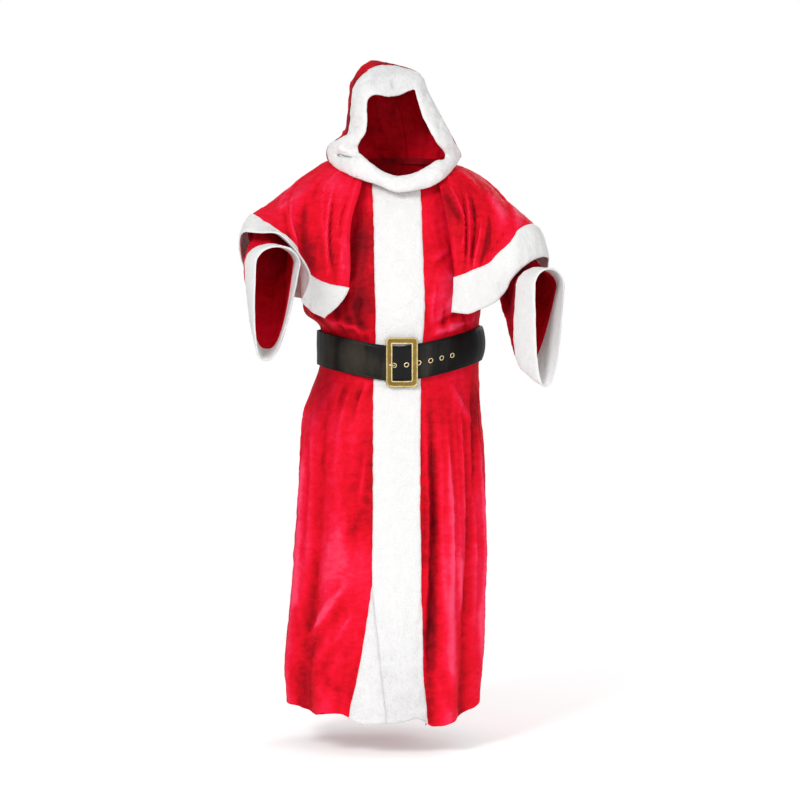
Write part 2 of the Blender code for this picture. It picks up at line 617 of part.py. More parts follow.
def belt_lift(angle):
    """How far the belt's middle line lies over the waist ring."""
    x = body(angle, WAIST).x / MM
    if math.cos(math.radians(angle)) > 0:
        return between(BELT_LIFT, "x", x, "z") * MM
    right, left = BELT_LIFT[0], BELT_LIFT[-1]
    return (right.z + (left.z - right.z) * (x - right.x) / (left.x - right.x)) * MM


def belt_point(angle, height, out):
    """A point of the belt by angle and height from its middle line: its outer face is at out 0."""
    def ring(turn):
        return body(turn, WAIST)
    along = ring(angle + 0.5) - ring(angle - 0.5)
    normal = along.cross(Vector((0, 0, 1))).normalized()
    hip = smooth((ring(angle).x - HIP_START) / HIP_REACH)
    bow = hip * (BELT_OFF_HIP - BELT_BOW * (2 * height / BELT_HEIGHT) ** 2)
    return (ring(angle) + normal * (belt_stand_off(angle) + BELT_THICKNESS + bow + out)
            + Vector((0, 0, height + belt_lift(angle))))


def belt_angle(distance):
    """The angle on the belt at a distance from the buckle's centre, measured along the belt."""
    return angle_at((BUCKLE_CENTRE + WAIST_RADIUS * math.sin(distance / WAIST_RADIUS)) / MM, WAIST)


def belt_surface(along, up):
    """The belt's outer face by distance along it and height."""
    return belt_point(belt_angle(along), up, 0)


def make_belt(collection, cutters):
    ends = belt_angle(-BUCKLE_WIDTH / 2 + BUCKLE_BAR / 2)
    angles = [ends + turn for turn in steps(BELT_END_GAP, 360 - BELT_END_GAP, 72)]
    places = [[(angle, height) for angle in angles] for height in steps(-BELT_HEIGHT / 2, BELT_HEIGHT / 2, 4)]
    belt = wall("belt", lambda angle, height: belt_point(angle, height, 0), places, collection, "leather",
                0.0, -BELT_THICKNESS)
    for index in range(EYELET_COUNT):
        distance = EYELET_FIRST + EYELET_SPACING * index
        drill = bmesh.new()
        bmesh.ops.create_cone(drill, cap_ends=True, segments=ROUND_SEGMENTS, radius1=EYELET_HOLE,
                              radius2=EYELET_HOLE, depth=DRILL_LENGTH)
        mesh = bpy.data.meshes.new("drill_%d" % (index + 1))
        drill.to_mesh(mesh)
        drill.free()
        cutter = bpy.data.objects.new(mesh.name, mesh)
        cutters.objects.link(cutter)
        centre = belt_point(belt_angle(distance), -EYELET_DOWN, 0)
        facing = (belt_point(belt_angle(distance), -EYELET_DOWN, 0.01) - centre).normalized()
        cutter.location = centre
        cutter.rotation_euler = facing.to_track_quat("Z", "Y").to_euler()
        cutter.hide_render = True
        cutter.display_type = "WIRE"
        cut = belt.modifiers.new("hole_%d" % (index + 1), "BOOLEAN")
        cut.object = cutter
        cut.operation = "DIFFERENCE"


def make_eyelets(collection):
    for index in range(EYELET_COUNT):
        centre = EYELET_FIRST + EYELET_SPACING * index

        def ring(turn, radius):
            return belt_surface(centre + radius * math.cos(turn), radius * math.sin(turn) - EYELET_DOWN)

        turns = steps(0, math.tau, ROUND_SEGMENTS)[:-1]
        places = [[(turn, radius) for turn in turns] for radius in (EYELET_RADIUS, EYELET_HOLE)]
        facing = moved_out(belt_surface, centre, -EYELET_DOWN, 1) - belt_surface(centre, -EYELET_DOWN)
        wall("eyelet_%d" % (index + 1), ring, places, collection, "brass",
             SEAM_GAP + EYELET_DEPTH, SEAM_GAP, closed=True, normal=facing)


def make_buckle(collection):
    half_wide, half_high = BUCKLE_WIDTH / 2, BUCKLE_HEIGHT / 2

    def frame(around, across):
        """Round the frame: 0 to 4 from the lower right corner, 0 at the window and 1 at the outside."""
        side, part = int(around % 4), around % 1
        reach = BUCKLE_BAR * (across - 1)
        corners = [(1, -1), (1, 1), (-1, 1), (-1, -1)]
        near, far = corners[side], corners[(side + 1) % 4]
        wide = (near[0] + (far[0] - near[0]) * part) * (half_wide + reach)
        high = (near[1] + (far[1] - near[1]) * part) * (half_high + reach)
        return belt_surface(wide, high - belt_lift(belt_angle(wide)))

    parts = (0, 0.25, 0.5, 0.75)
    places = [[(side + part, across) for side in range(4) for part in parts] 
              for across in (1, 1 - BUCKLE_BEVEL_SHARE, BUCKLE_BEVEL_SHARE, 0)]
    low = SEAM_GAP + EYELET_DEPTH + SEAM_GAP

    def raised(around, across):
        return low + BUCKLE_DEPTH - (BUCKLE_BEVEL if across in (0, 1) else 0)

    out = Vector((0, -1, 0))
    made = wall("buckle_frame", frame, places, collection, "brass", raised, low, closed=True, normal=out)
    made.data.shade_flat()

    def prong(station, side):
        line = PRONG[station]
        return belt_surface(EYELET_FIRST + line.along * MM, side * line.half * MM - EYELET_DOWN)

    def underside(station, side):
        over = low + BUCKLE_DEPTH + SEAM_GAP
        return over * PRONG[station].over

    def upper(station, side):
        return underside(station, side) + PRONG_DEPTH

    places = [[(station, side) for station in range(len(PRONG))] for side in (-1, 1)]
    wall("buckle_prong", prong, places, collection, "brass", upper, underside, normal=out)


def main():
    for old in list(bpy.data.objects):
        bpy.data.objects.remove(old)
    suit = bpy.data.collections.new("santa_suit")
    cutters = bpy.data.collections.new("cutters")
    for collection in (suit, cutters):
        bpy.context.scene.collection.children.link(collection)
    make_robe(suit)
    make_front_bands(suit)
    make_sleeves(suit)
    make_capelet(suit)
    make_hood(suit)
    make_belt(suit, cutters)
    make_eyelets(suit)
    make_buckle(suit)


main()
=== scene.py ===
"""Santa suit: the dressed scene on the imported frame.

Metres, +Z up, front towards -Y, origin at the base of the neck. Tables are in millimetres and degrees.
The surfaces are those of the CAD part, drawn finer, with creases, turned-in seams and pile.
"""
import math

import bpy
import numpy as np
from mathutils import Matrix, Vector


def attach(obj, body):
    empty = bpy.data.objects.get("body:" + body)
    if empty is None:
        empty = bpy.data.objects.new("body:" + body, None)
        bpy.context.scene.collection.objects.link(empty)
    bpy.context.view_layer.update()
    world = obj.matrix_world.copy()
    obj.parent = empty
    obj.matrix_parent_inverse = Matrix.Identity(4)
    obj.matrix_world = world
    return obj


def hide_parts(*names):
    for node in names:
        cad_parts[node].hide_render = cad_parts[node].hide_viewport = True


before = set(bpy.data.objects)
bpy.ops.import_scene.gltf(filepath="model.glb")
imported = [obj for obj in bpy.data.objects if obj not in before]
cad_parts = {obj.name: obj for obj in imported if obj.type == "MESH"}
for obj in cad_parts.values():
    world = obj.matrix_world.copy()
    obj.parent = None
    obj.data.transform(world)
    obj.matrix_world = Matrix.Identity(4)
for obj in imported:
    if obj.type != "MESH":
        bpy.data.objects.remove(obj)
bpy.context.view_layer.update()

MM = 0.001

# Cloth and trim, in metres
VELVET = 0.002
PLUSH = 0.0055
PLUSH_RISE = 0.0035          # how far plush stands above the velvet beside it
UNDER_PLUSH = 0.0042         # the hidden band, pressed flat
LAYER_GAP = 0.0012           # between cloth layers that lie on each other
SEAM_DIP = 0.0016            # how far velvet dips at a seam
SEAM_REACH = 0.0022          # and how near the seam it does
CREASE_CLEAR = 0.012         # creases die away over this length before a seam
FLANGE = 0.006               # how deep velvet turns in at a seam
PLUSH_UNEVEN = 0.001         # height of the pile's broad lumps
PLUSH_TUFT = 0.0006          # height of its small tufts
PLUSH_WANDER = 0.0009        # how far its edges stray
PLUSH_OVERHANG = 0.0022      # how far it leans out over its edges
PLUSH_RADIUS = 0.006         # over which it rounds down to them
PLUSH_CREASE = 0.004         # a crease this deep shades the pile fully
PAINTED_FOLD_LIGHT_RELIEF = 0.0075          # a fold this high gets the full painted highlight on velvet, a trough this deep the full painted shade
PAINTED_FOLD_LIGHT_SHARE = 0.8              # which is lighter or darker by this much
CAPE_RELIEF = 0.005          # the same on the capelet
INSIDE_PAINTED_SHADE = -0.55           # painted shade on the inside of a piece, which lies in shadow

# Belt and buckle
BELT_HEIGHT = 0.0905
BELT_THICKNESS = 0.004
BELT_REST = 0.0006           # belt to velvet
BELT_END_GAP = 0.25          # degrees from the hidden joint behind the buckle's bar to each end
BELT_OVER_BAND = 0.0046      # extra where the belt crosses the plush band
BAND_HALF_REACH = 0.072      # to each side of the front the belt stands off this far
BAND_STEP_DOWN = 0.042       # and comes down to the robe over this length
BELT_OFF_HIP = 0.005         # its middle line stands off this much more at the left hip
BELT_BOW = 0.009             # and its edges lie this much closer than its middle there
HIP_START = 0.10             # both begin this far along X
HIP_REACH = 0.10             # and are whole after this much more
BELT_ROUNDING = 0.002        # of its edges
BELT_GROOVE = 0.0006         # depth of the groove pressed along each edge
GROOVE_PLACE, GROOVE_WIDTH = 0.0048, 0.0007  # its place in from the edge and its half width
WAIST_RADIUS = 0.22          # of the belt where the buckle lies
BUCKLE_WIDTH = 0.081
BUCKLE_HEIGHT = 0.127
BUCKLE_BAR = 0.0165
BUCKLE_DEPTH = 0.005
BUCKLE_CENTRE = 0.005        # along X
WINDOW_CORNER = 0.0025       # corner radius of the buckle's window
OUTER_CORNER = 0.01          # and of its outside
CORNER_SHARE = 0.15          # of each side's points that go to the corner at either end
PRONG_DEPTH = 0.003
EYELET_HOLE = 0.0036
EYELET_DEPTH = 0.0012
EYELET_FIRST = -0.0195       # first eyelet, along the belt from the buckle's centre
EYELET_SPACING = 0.031
EYELET_COUNT = 6
EYELET_DOWN = 0.0042         # below the belt's middle line
DRILL_LENGTH = 0.03
SEAM_GAP = 0.00035           # between pieces that are fixed to each other


def table(*rows):
    return np.array(rows, float)


# ---------------------------------------------------------------- robe body
# One ring of the robe for each height: z at the side, front and back, then how far it reaches right, left,
# ahead and behind.
RINGS = table(
    (-1415, -1446, -1425, -302, 210, -238, 205),        # 0 hem
    (-1325, -1330, -1325, -308, 217, -236, 203),        # 1 calf
    (-1206, -1206, -1206, -296, 219, -230, 198),        # 2 shin
    (-1040, -1040, -1040, -280, 228, -222, 190),        # 3 knee
    (-888, -888, -888, -268, 226, -214, 182),           # 4 thigh
    (-755, -758, -750, -262, 219, -206, 174),           # 5 hip
    (-640, -655, -620, -249, 212, -196, 163),           # 6 seat
    (-531, -571, -498, -212, 208, -179, 142),           # 7 under the belt
    (-479, -519, -446, -215, 217, -182, 146),           # 8 waist
    (-427, -467, -394, -211, 208, -179, 142),           # 9 over the belt
    (-388, -400, -365, -253, 212, -190, 160),           # 10 blouse
    (-325, -335, -315, -250, 214, -186, 158),           # 11 ribs
    (-255, -262, -250, -226, 208, -176, 148),           # 12 underarm
    (-140, -168, -140, -208, 202, -152, 130),           # 13 chest
    (-28, -98, -42, -190, 186, -126, 104),              # 14 shoulder tip
    (-12, -70, -13, -150, 148, -115, 94),               # 15 shoulder
    (6, -46, 15, -108, 106, -104, 82),                  # 16 neck
)
HEM, WAIST, UNDERARM, SHOULDER_TIP, NECK = 0, 8, 12, 14, 16
ROUNDNESS = 2.25             # superellipse exponent of a ring
SIDE_SEAM = 90.0             # degrees from the front centre
ARMHOLE_REACH = 33.0         # degrees that the armhole takes from front and back at chest height

# Height of the hem round the robe: angle, z
HEM_LINE = table(
    (-180, -1425), (-125, -1418), (-90, -1405), (-60, -1412), (-38, -1428), (-22, -1422), (-9, -1446), (8, -1440),
    (18, -1430), (30, -1456), (45, -1447), (62, -1424), (82, -1396), (115, -1408), (180, -1425),
)

# Skirt and bodice folds, a soft ridge (+) or trough (-), strongest at its foot: angle, width, depth, and the rows of
# its foot and head
FOLDS = [
    (-150, 9, 13, 0, 7), (-128, 8, -11, 0, 6.6), (-108, 9, 12, 0, 7), (-84, 8, -9, 0, 6.4), (-66, 8, 12, 0, 6.6),
    (-49, 7, -12, 0, 6.9), (-34, 7, 9, 0, 6.2), (26, 7, -10, 0, 6.8), (38, 7, 14, 0, 7), (53, 6, -13, 0, 6.6),
    (70, 8, 11, 0, 7), (92, 8, -10, 0, 6.5), (113, 9, 12, 0, 7), (136, 8, -12, 0, 6.8), (160, 9, 11, 0, 7),
    (178, 7, -9, 0, 6.7), (-72, 9, 6, 10, 12), (-40, 8, -5, 10, 12.4), (36, 8, 5, 10, 12.4), (60, 7, -5, 10, 12),
    (125, 10, 6, 10, 12.6), (160, 9, -6, 10, 12.8), (-125, 10, -6, 10, 12.6), (-160, 9, 6, 10, 12.8),
]
FOLD_FADE = 1.4              # how soon a fold dies away towards its head
BODICE_FOLD_RISE = 0.8       # rows above the belt in which a bodice fold swells up
BODICE_FOLD_GAIN = 2         # makes up for the fade at both its ends

# Centre-front bands: z, and x of the right velvet seam, the free edge of the upper band and the left velvet seam
BAND_EDGES = table(
    (-1450, -133, -33, 75), (-1325, -109, -45, 60), (-1206, -88, -58, 57.5), (-1100, -73, -69, 55),
    (-1040, -66, -69, 53), (-888, -64, -67.5, 50), (-570, -63.5, -67, 52), (-460, -57, -60.5, 57),
    (-380, -57, -60.5, 63), (-290, -60, -63.5, 59), (-110, -64, -67.5, 53), (-40, -70, -74, 48),
)
RIGHT_SEAM, FREE_EDGE, LEFT_SEAM = 1, 2, 3
UNDER_BAND_WIDTH = 118       # of the right band, most of it hidden
UNDER_BAND_MARGIN = 8        # its hidden edge stops this far from the left seam
TUCK = -0.0036               # how far the right front dips to pass under the upper band
TUCK_START = 40.0            # degrees outside the seam where the dip begins

# ---------------------------------------------------------------- sleeves
# One ring for each station: arm centre, reach above and below it, half widths at the arm and low down,
# and how far the hanging foot sways towards the body.
SLEEVES = {
    "right": table(
        (-248, -40, -102, 48, 140, 53, 50, 0),
        (-293, -87, -162, 45, 110, 50, 48, 0),
        (-333, -152, -220, 54, 104, 52, 46, 6),
        (-335, -235, -255, 50, 160, 60, 46, 0),
        (-326, -315, -268, 47, 215, 62, 42, -8),
        (-303, -385, -272, 45, 236, 57, 38, -30),
    ),
    "left": table(
        (246, -40, -130, 43, 150, 56, 54, 0),
        (276, -60, -196, 47, 108, 52, 50, 0),
        (308, -116, -284, 50, 92, 52, 46, 14),
        (337, -200, -325, 47, 124, 53, 44, 34),
        (345, -292, -326, 46, 200, 53, 40, 30),
        (371, -360, -326, 44, 248, 40, 31, 8),
    ),
}
RING_TILT = 0.5              # rings lean this share of the arm's slope, since the sleeve hangs
HANG_ROUNDNESS = 0.7         # exponent of the hanging half of a ring
SLEEVE_CUFF = 5              # station where velvet ends and the cuff begins, counting the armhole as 0
SLEEVE_END = 6

# ---------------------------------------------------------------- capelet
# One rib for each section, from the neck edge out: the angle where it leaves the neck, then three points
# on the velvet and one on the hem of the plush band.
RIBS = table(
    (-52, -104, -146, -76, -126, -180, -170, -132, -200, -329, -193, -214, -404),           # right front edge
    (-60, -140, -132, -62, -176, -192, -180, -197, -222, -313, -217, -234, -388),
    (-68, -176, -108, -42, -232, -196, -150, -247, -243, -281, -249, -257, -364),
    (-76, -194, -76, -22, -268, -176, -116, -264, -262, -222, -228, -294, -294),
    (-83, -199, -42, -6, -292, -134, -98, -306, -252, -186, -290, -340, -202),              # over the forearm
    (-90, -200, -10, 4, -306, -98, -88, -347, -215, -158, -352, -300, -190),
    (-98, -196, 20, 5, -312, -62, -86, -383, -166, -142, -404, -240, -192),                 # outer ridge
    (-110, -184, 50, -1, -320, 4, -102, -396, -104, -198, -404, -156, -266),
    (-128, -150, 84, -8, -286, 62, -124, -356, -2, -234, -368, -22, -322),
    (-146, -102, 108, -22, -188, 118, -130, -250, 98, -262, -268, 92, -350),
    (-163, -52, 120, -28, -96, 144, -132, -126, 160, -270, -136, 164, -361),
    (-180, 0, 122, -30, 0, 152, -132, 0, 176, -272, 0, 182, -365),                          # centre back
    (-197, 52, 120, -28, 94, 142, -132, 124, 158, -270, 133, 162, -361),
    (-214, 100, 108, -22, 180, 114, -134, 242, 94, -264, 258, 88, -353),
    (-232, 148, 82, -16, 286, 44, -134, 344, -8, -242, 356, -24, -330),
    (-250, 178, 48, -16, 308, -20, -120, 364, -100, -190, 384, -130, -262),
    (-262, 190, 14, -18, 282, -74, -103, 341, -166, -165, 367, -198, -246),                 # outer ridge
    (-270, 192, -18, -20, 273, -114, -104, 303, -212, -180, 322, -246, -266),
    (-277, 192, -50, -26, 262, -146, -113, 281, -238, -212, 284, -267, -303),
    (-284, 184, -82, -34, 238, -172, -132, 249, -242, -241, 263, -256, -339),
    (-292, 164, -110, -44, 206, -186, -154, 213, -230, -273, 224, -242, -372),
    (-300, 136, -134, -66, 166, -188, -184, 175, -213, -288, 177, -224, -391),
    (-308, 108, -146, -92, 127, -180, -198, 138, -196, -302, 133, -206, -388),              # left front edge
)
CAPE_EDGE, CAPE_HEM, CENTRE_BACK = 3, 4, 11
NECK_LAYER = 0.0026          # the capelet's neck edge, outside the robe's

# Capelet folds: rib position, width in ribs, depth at the hem
DRAPES = [
    (0.9, 0.35, 7), (1.7, 0.3, -8), (8.5, 0.4, 9), (9.4, 0.35, -8), (10.4, 0.4, 9), (11.4, 0.35, -7), (12.4, 0.4, 9),
    (13.4, 0.35, -8), (14.2, 0.4, 8), (19.6, 0.35, 6), (20.5, 0.3, -7), (21.3, 0.35, 7),
]

# ---------------------------------------------------------------- hood
# Band round face and neckline: inner edge and outer edge, from the crown down the left side and back up.
FACE_BAND = table(
    (-16, -128, 171, -38, -62, 258),                    # crown
    (36, -126, 190, 48, -64, 236),
    (50, -124, 163, 78, -66, 180),
    (65, -122, 115, 115, -66, 111),
    (97, -120, 54, 148, -62, 50),
    (122, -93, 16, 161, -41, 15),                       # left corner
    (92, -120, 3, 121, -124, -39),
    (48, -138, -24, 70, -150, -68),
    (-5, -144, -36, -5, -160, -80),                     # front of the neck
    (-54, -138, -18, -64, -150, -60),
    (-98, -120, 16, -133, -119, -34),
    (-113, -104, 30, -189, -50, 6),                     # right lobe
    (-108, -114, 52, -188, -40, 49),
    (-92, -122, 84, -141, -60, 76),
    (-91, -123, 132, -132, -64, 135),
    (-88, -125, 159, -124, -66, 195),
    (-66, -127, 175, -92, -64, 238),
)
BAND_BULGE = 0.007           # how far the face band rounds out between its edges
FACE_BAND_DEPTH = 0.008
HOOD_FIRST_ROW = 11          # row of FACE_BAND where the hood's edge begins; it ends past the last row
HOOD_CROWN = 6               # rows from the first of them to the crown
HOOD_END = 11                # rows from the first of them to the last
HOOD_NECK_RIBS = (3.0, 18.5)                 # ribs of the capelet's neck edge that carry the hood
# How the hood leaves the face band, sideways and up, by place along its edge: it stands up in a peak right of the
# crown, and on the left and at the lobe it goes in behind the band.
HOOD_BROW = table(
    (-3, 0), (-2, 2), (-16, 8), (-19, 26), (-16, 70), (0, 106), (-18, 48), (-16, 9), (-10, 0), (-8, 0), (-8, 0),
    (-8, 0),
)
HOOD_DEEP = 0.05             # how far back each line starts out, and how much further at the crown
HOOD_DEEPER = 0.06
HOOD_NAPE = (0, 0.035, 0.012)                # how every line comes in to the neck: from behind, a little above
NAPE_WIDER, NAPE_DEEPER = 0.035, 0.085       # at the sides it comes in from further out, at the crown from behind
NAPE_RISE, NAPE_HIGHER = 0.038, 0.09         # and from higher up
HOOD_NECK_GAP = 0.00075      # above the capelet's neck edge

# ---------------------------------------------------------------- belt and prong
# The belt's middle line over the waist ring on the front, by x: down at the buckle, up at the left hip.
BELT_LIFT = table(
    (-222, -4), (-155, 2), (-103, 2.5), (-51, -1), (0, -4), (54, 3), (85, 6), (116, 8.5), (151, 9.5), (227, 8),
)

# The prong from its root on the buckle's bar to its tip in the first eyelet: along from the eyelet's centre, half its
# width, and its underside's share of the height it has over the bar.
PRONG = table((-14, 1.8, 1), (-9, 2.2, 1), (-4.5, 2.0, 1), (-2, 1.8, 0.62), (0, 1.6, 0.1), (1.8, 1.4, 0.1))

# ---------------------------------------------------------------- creases that the solids leave out
# A soft trough (-) or ridge (+) on the robe: angle, top and foot height, how far the foot drifts sideways, width, depth
CREASES = [
    # skirt, right front
    (-17, -562, -640, 1, 1.3, -5), (-21, -560, -668, -1, 1.5, 4), (-25, -565, -690, 1, 1.5, -6),
    (-31, -565, -720, -1, 1.8, 4), (-37, -570, -650, -1, 1.7, -4), (-58, -600, -1240, 3, 2.0, 5),
    (-64, -590, -1330, 4, 1.9, -5), (-71, -700, -1290, 5, 1.8, 5), (-30, -905, -1075, 5, 3.2, 4),
    (-24, -880, -1080, 5, 2.2, -4), (-45, -590, -860, -3, 3.0, -3), (-50, -1000, -1180, 2, 3.5, -4),
    # skirt, left front
    (16, -560, -1400, 2, 1.0, -4), (18.5, -560, -1395, 3, 1.1, 6), (23, -575, -1425, 4, 1.7, -8),
    (28, -620, -1010, 3, 1.6, 3), (33, -565, -1405, 5, 1.2, 6), (38, -600, -1190, 3, 1.8, -5),
    (47, -575, -1130, -1, 1.5, 6), (52, -640, -1380, 2, 1.6, -4), (57, -700, -1400, 5, 1.5, 6),
    (62, -555, -1000, -5, 2.0, -8), (68, -620, -1350, 2, 1.7, 6), (76, -560, -920, -5, 2.2, -6),
    # skirt, sides and back
    (-82, -570, -1010, 3, 2.4, 6), (-89, -640, -1280, 2, 2.2, -5), (-95, -560, -880, -4, 2.2, -5),
    (-104, -590, -1180, 4, 2.0, 6), (-117, -580, -1280, 3, 2.2, 6), (-126, -570, -960, -3, 2.4, -6),
    (-139, -565, -1050, -3, 2.0, -5), (-147, -620, -1380, 2, 1.8, 6), (-160, -560, -1340, 4, 2.0, 6),
    (-168, -570, -960, 2, 2.0, -6), (-176, -580, -1200, -2, 1.8, 5), (88, -600, -1300, 3, 2.0, 6),
    (98, -570, -1240, 3, 2.2, -6), (108, -580, -1060, -2, 2.2, 5), (120, -560, -980, -4, 2.4, -6),
    (131, -640, -1370, 3, 2.0, 6), (146, -575, -1330, 2, 2.2, 6), (155, -565, -900, -2, 2.0, -6),
    (167, -560, -1060, -3, 2.0, -5), (174, -620, -1340, 2, 1.9, 6),
    # bodice, pulled in by the belt
    (-19, -340, -472, -3, 1.6, -4), (-26, -300, -465, 2, 2.0, 4), (-35, -345, -462, -4, 2.0, -5),
    (-44, -320, -458, -3, 2.2, 5), (-55, -350, -455, -3, 2.0, -5), (-66, -310, -450, 3, 2.6, 5),
    (19, -345, -472, 3, 1.5, -5), (25, -300, -468, -3, 1.7, 5), (32, -350, -462, 2, 1.6, -5),
    (40, -310, -458, -3, 1.8, 5), (50, -345, -455, 4, 2.0, -6), (64, -310, -450, -2, 2.4, 5),
    (-100, -300, -425, 3, 2.6, -5), (-112, -320, -418, 2, 2.2, 5), (-124, -280, -410, -3, 2.4, -5),
    (-136, -310, -405, 2, 2.2, 5), (-148, -300, -400, 3, 2.2, -5), (-160, -290, -398, -2, 2.2, 5),
    (-170, -270, -398, -2, 2.4, -4), (102, -300, -425, -3, 2.6, -5), (114, -320, -416, -2, 2.2, 5),
    (126, -280, -410, 3, 2.4, -5), (138, -310, -404, -2, 2.2, 5), (150, -300, -400, -3, 2.2, -5),
    (162, -290, -398, 2, 2.2, 5), (174, -270, -398, 2, 2.4, -4),
]
# A slanting crease on the front of the robe: from one x and z to another, width across, depth
SLANTS = [
    (-118, -1060, -262, -1262, 9, 7), (-128, -1110, -250, -1300, 13, -6), (-110, -1140, -195, -1285, 8, 6),
    (-140, -1195, -215, -1330, 14, -7), (-82, -705, -108, -905, 11, 6), (-98, -720, -128, -890, 12, -4),
    (-92, -880, -150, -1010, 15, -4), (-250, -900, -262, -1180, 8, 5), (-225, -1290, -150, -1392, 15, -6),
    (-150, -560, -205, -640, 12, 4), (105, -1290, 130, -1420, 13, -7), (60, -1180, 92, -1330, 9, -4),
    (200, -1130, 214, -1330, 8, 5), (-230, -640, -252, -840, 10, 4), (-115, -375, -185, -440, 11, 6),
    (-90, -345, -160, -425, 11, -5), (85, -408, 165, -330, 9, 7), (100, -425, 160, -372, 8, -5),
    (70, -265, 140, -215, 10, 5), (72, -290, 135, -240, 9, -4), (-105, -300, -170, -345, 12, 5),
    (110, -285, 165, -325, 12, 4), (82, -440, 120, -405, 7, 5), (66, -452, 206, -404, 7, 9),
    (-62, -452, -214, -398, 7, 8), (70, -436, 176, -384, 6, -6), (74, -420, 150, -376, 5, 6),
    (-70, -436, -180, -388, 6, -5), (122, -560, 196, -700, 6, 6), (102, -750, 116, -1230, 6, 6),
    (150, -990, 157, -1190, 6, 5), (176, -630, 185, -860, 6, 5), (-246, -760, -261, -940, 6, 5),
    (-264, -1090, -255, -1230, 6, 4), (88, -700, 84, -1350, 9, -6), (132, -880, 150, -1330, 8, -4),
    (-150, -620, -172, -830, 7, 3),
]
# The same on a surface of its own: from one u and v to another, as the surface counts them, width, depth
CAPE_FOLDS = [
    # right half, front
    (1.0, 1.2, 0.2, 3.1, 0.05, 4), (1.7, 1.0, 0.62, 3.05, 0.07, 7), (1.46, 1.1, 0.49, 3.0, 0.06, -6),
    (2.9, 0.9, 2.1, 1.8, 0.10, -3), (2.6, 1.6, 1.5, 3.1, 0.22, -4), (5.1, 1.3, 4.2, 2.5, 0.24, 4),
    (4.5, 2.5, 2.7, 1.5, 0.20, 3), (3.4, 1.9, 2.7, 3.2, 0.14, 5), (0.72, 0.3, 0.50, 3.2, 0.05, -4),
    (0.42, 0.3, 0.28, 3.2, 0.14, 3), (2.3, 1.0, 1.0, 2.4, 0.06, 4), (2.2, 0.4, 1.9, 1.3, 0.12, 3),
    (3.8, 2.2, 3.2, 3.1, 0.16, -4),
    # right half, side and back
    (6.1, 0.8, 6.7, 3.7, 0.26, 5), (7.0, 1.2, 7.7, 3.8, 0.20, -6), (7.7, 0.7, 8.4, 3.9, 0.15, 6),
    (8.5, 1.5, 8.9, 3.8, 0.18, -5), (9.2, 0.6, 9.4, 3.9, 0.14, 5), (10.2, 0.9, 10.4, 3.8, 0.20, -5),
    # left half, front
    (21.75, 0.8, 21.1, 1.85, 0.10, -9), (21.25, 0.8, 20.8, 1.85, 0.07, 8), (20.75, 1.6, 21.4, 2.4, 0.07, 6),
    (20.2, 1.1, 21.15, 3.05, 0.07, 8), (20.0, 1.3, 20.85, 3.0, 0.08, -7), (19.9, 1.9, 20.7, 3.2, 0.07, 7),
    (20.5, 1.2, 21.45, 3.0, 0.06, -6), (19.6, 2.1, 20.4, 3.2, 0.08, -5), (21.7, 1.8, 21.8, 3.1, 0.05, 4),
    (20.9, 0.5, 21.0, 1.1, 0.12, 3), (18.9, 1.5, 18.0, 2.5, 0.30, 4), (19.3, 1.9, 20.0, 2.9, 0.16, -4),
    (17.6, 2.74, 20.0, 2.92, 0.06, 4), (17.8, 2.56, 19.8, 2.80, 0.07, -4), (19.9, 0.6, 19.2, 1.6, 0.16, 3),
    # left half, side and back
    (16.4, 0.9, 17.0, 3.4, 0.24, 5), (15.5, 1.3, 15.6, 3.6, 0.20, -5), (14.7, 0.8, 14.4, 3.8, 0.15, 6),
    (13.9, 1.5, 13.6, 3.7, 0.19, -5), (13.1, 0.7, 12.8, 3.9, 0.14, 6), (12.3, 1.1, 12.1, 3.7, 0.20, -5),
    (11.6, 0.6, 11.5, 3.8, 0.13, 5),
    # where the arm lifts it
    (19.2, 2.0, 17.6, 1.5, 0.12, 3), (4.6, 1.5, 2.9, 2.5, 0.14, -3),
]
# Patches painted lighter (+) or darker (-), partly brushed pile and partly painted highlight and painted shade: centre,
# reach and strength as the surface counts them
CAPE_PATCHES = [
    (1.6, 2.6, 1.0, 0.5, -0.9), (4.0, 1.9, 0.9, 0.45, 0.6), (1.2, 1.2, 0.7, 0.4, 0.5), (2.6, 0.9, 1.6, 0.6, 0.35),
    (18.4, 2.1, 0.5, 0.35, 0.8), (21.7, 1.4, 0.35, 0.5, -0.6), (19.8, 2.6, 0.5, 0.3, -0.4),
    (17.0, 1.9, 0.5, 0.5, -0.4), (20.2, 1.6, 1.6, 1.1, -0.5), (8.2, 2.4, 0.9, 0.8, -0.5), (9.9, 1.6, 0.8, 0.7, 0.4),
    (13.6, 2.6, 0.9, 0.7, -0.4), (15.2, 1.7, 0.8, 0.6, 0.5), (6.0, 1.8, 0.7, 0.8, 0.3),
]
# The same on the front and the back of the robe, by x and z; on the front they also paint the capelet's shadow over the
# torso
FRONT_PATCHES = [
    (-105, -300, 52, 140, -1.1), (-92, -190, 36, 80, -0.9), (-150, -405, 85, 62, -0.9), (-230, -395, 50, 50, -0.7),
    (-180, -1035, 62, 78, 0.7), (-86, -800, 20, 115, -0.6), (-262, -1345, 42, 70, -0.5), (-120, -1345, 40, 60, -0.3),
    (-215, -700, 30, 160, 0.2), (76, -1000, 17, 440, -0.7), (196, -655, 14, 120, -0.9), (150, -1050, 55, 260, 0.25),
    (120, -610, 40, 40, -0.3), (205, -1250, 30, 140, -0.3), (100, -330, 30, 60, 0.25), (-130, -600, 40, 40, -0.3),
    (-225, -1260, 70, 120, -0.35), (150, -700, 70, 120, -0.2),
]
BACK_PATCHES = [
    (-120, -900, 60, 190, 0.4), (60, -1150, 70, 160, -0.5), (150, -760, 50, 150, 0.3), (-30, -700, 40, 130, -0.4),
    (-170, -1250, 50, 120, -0.4), (0, -420, 170, 50, -0.7), (120, -1320, 60, 90, 0.3),
]
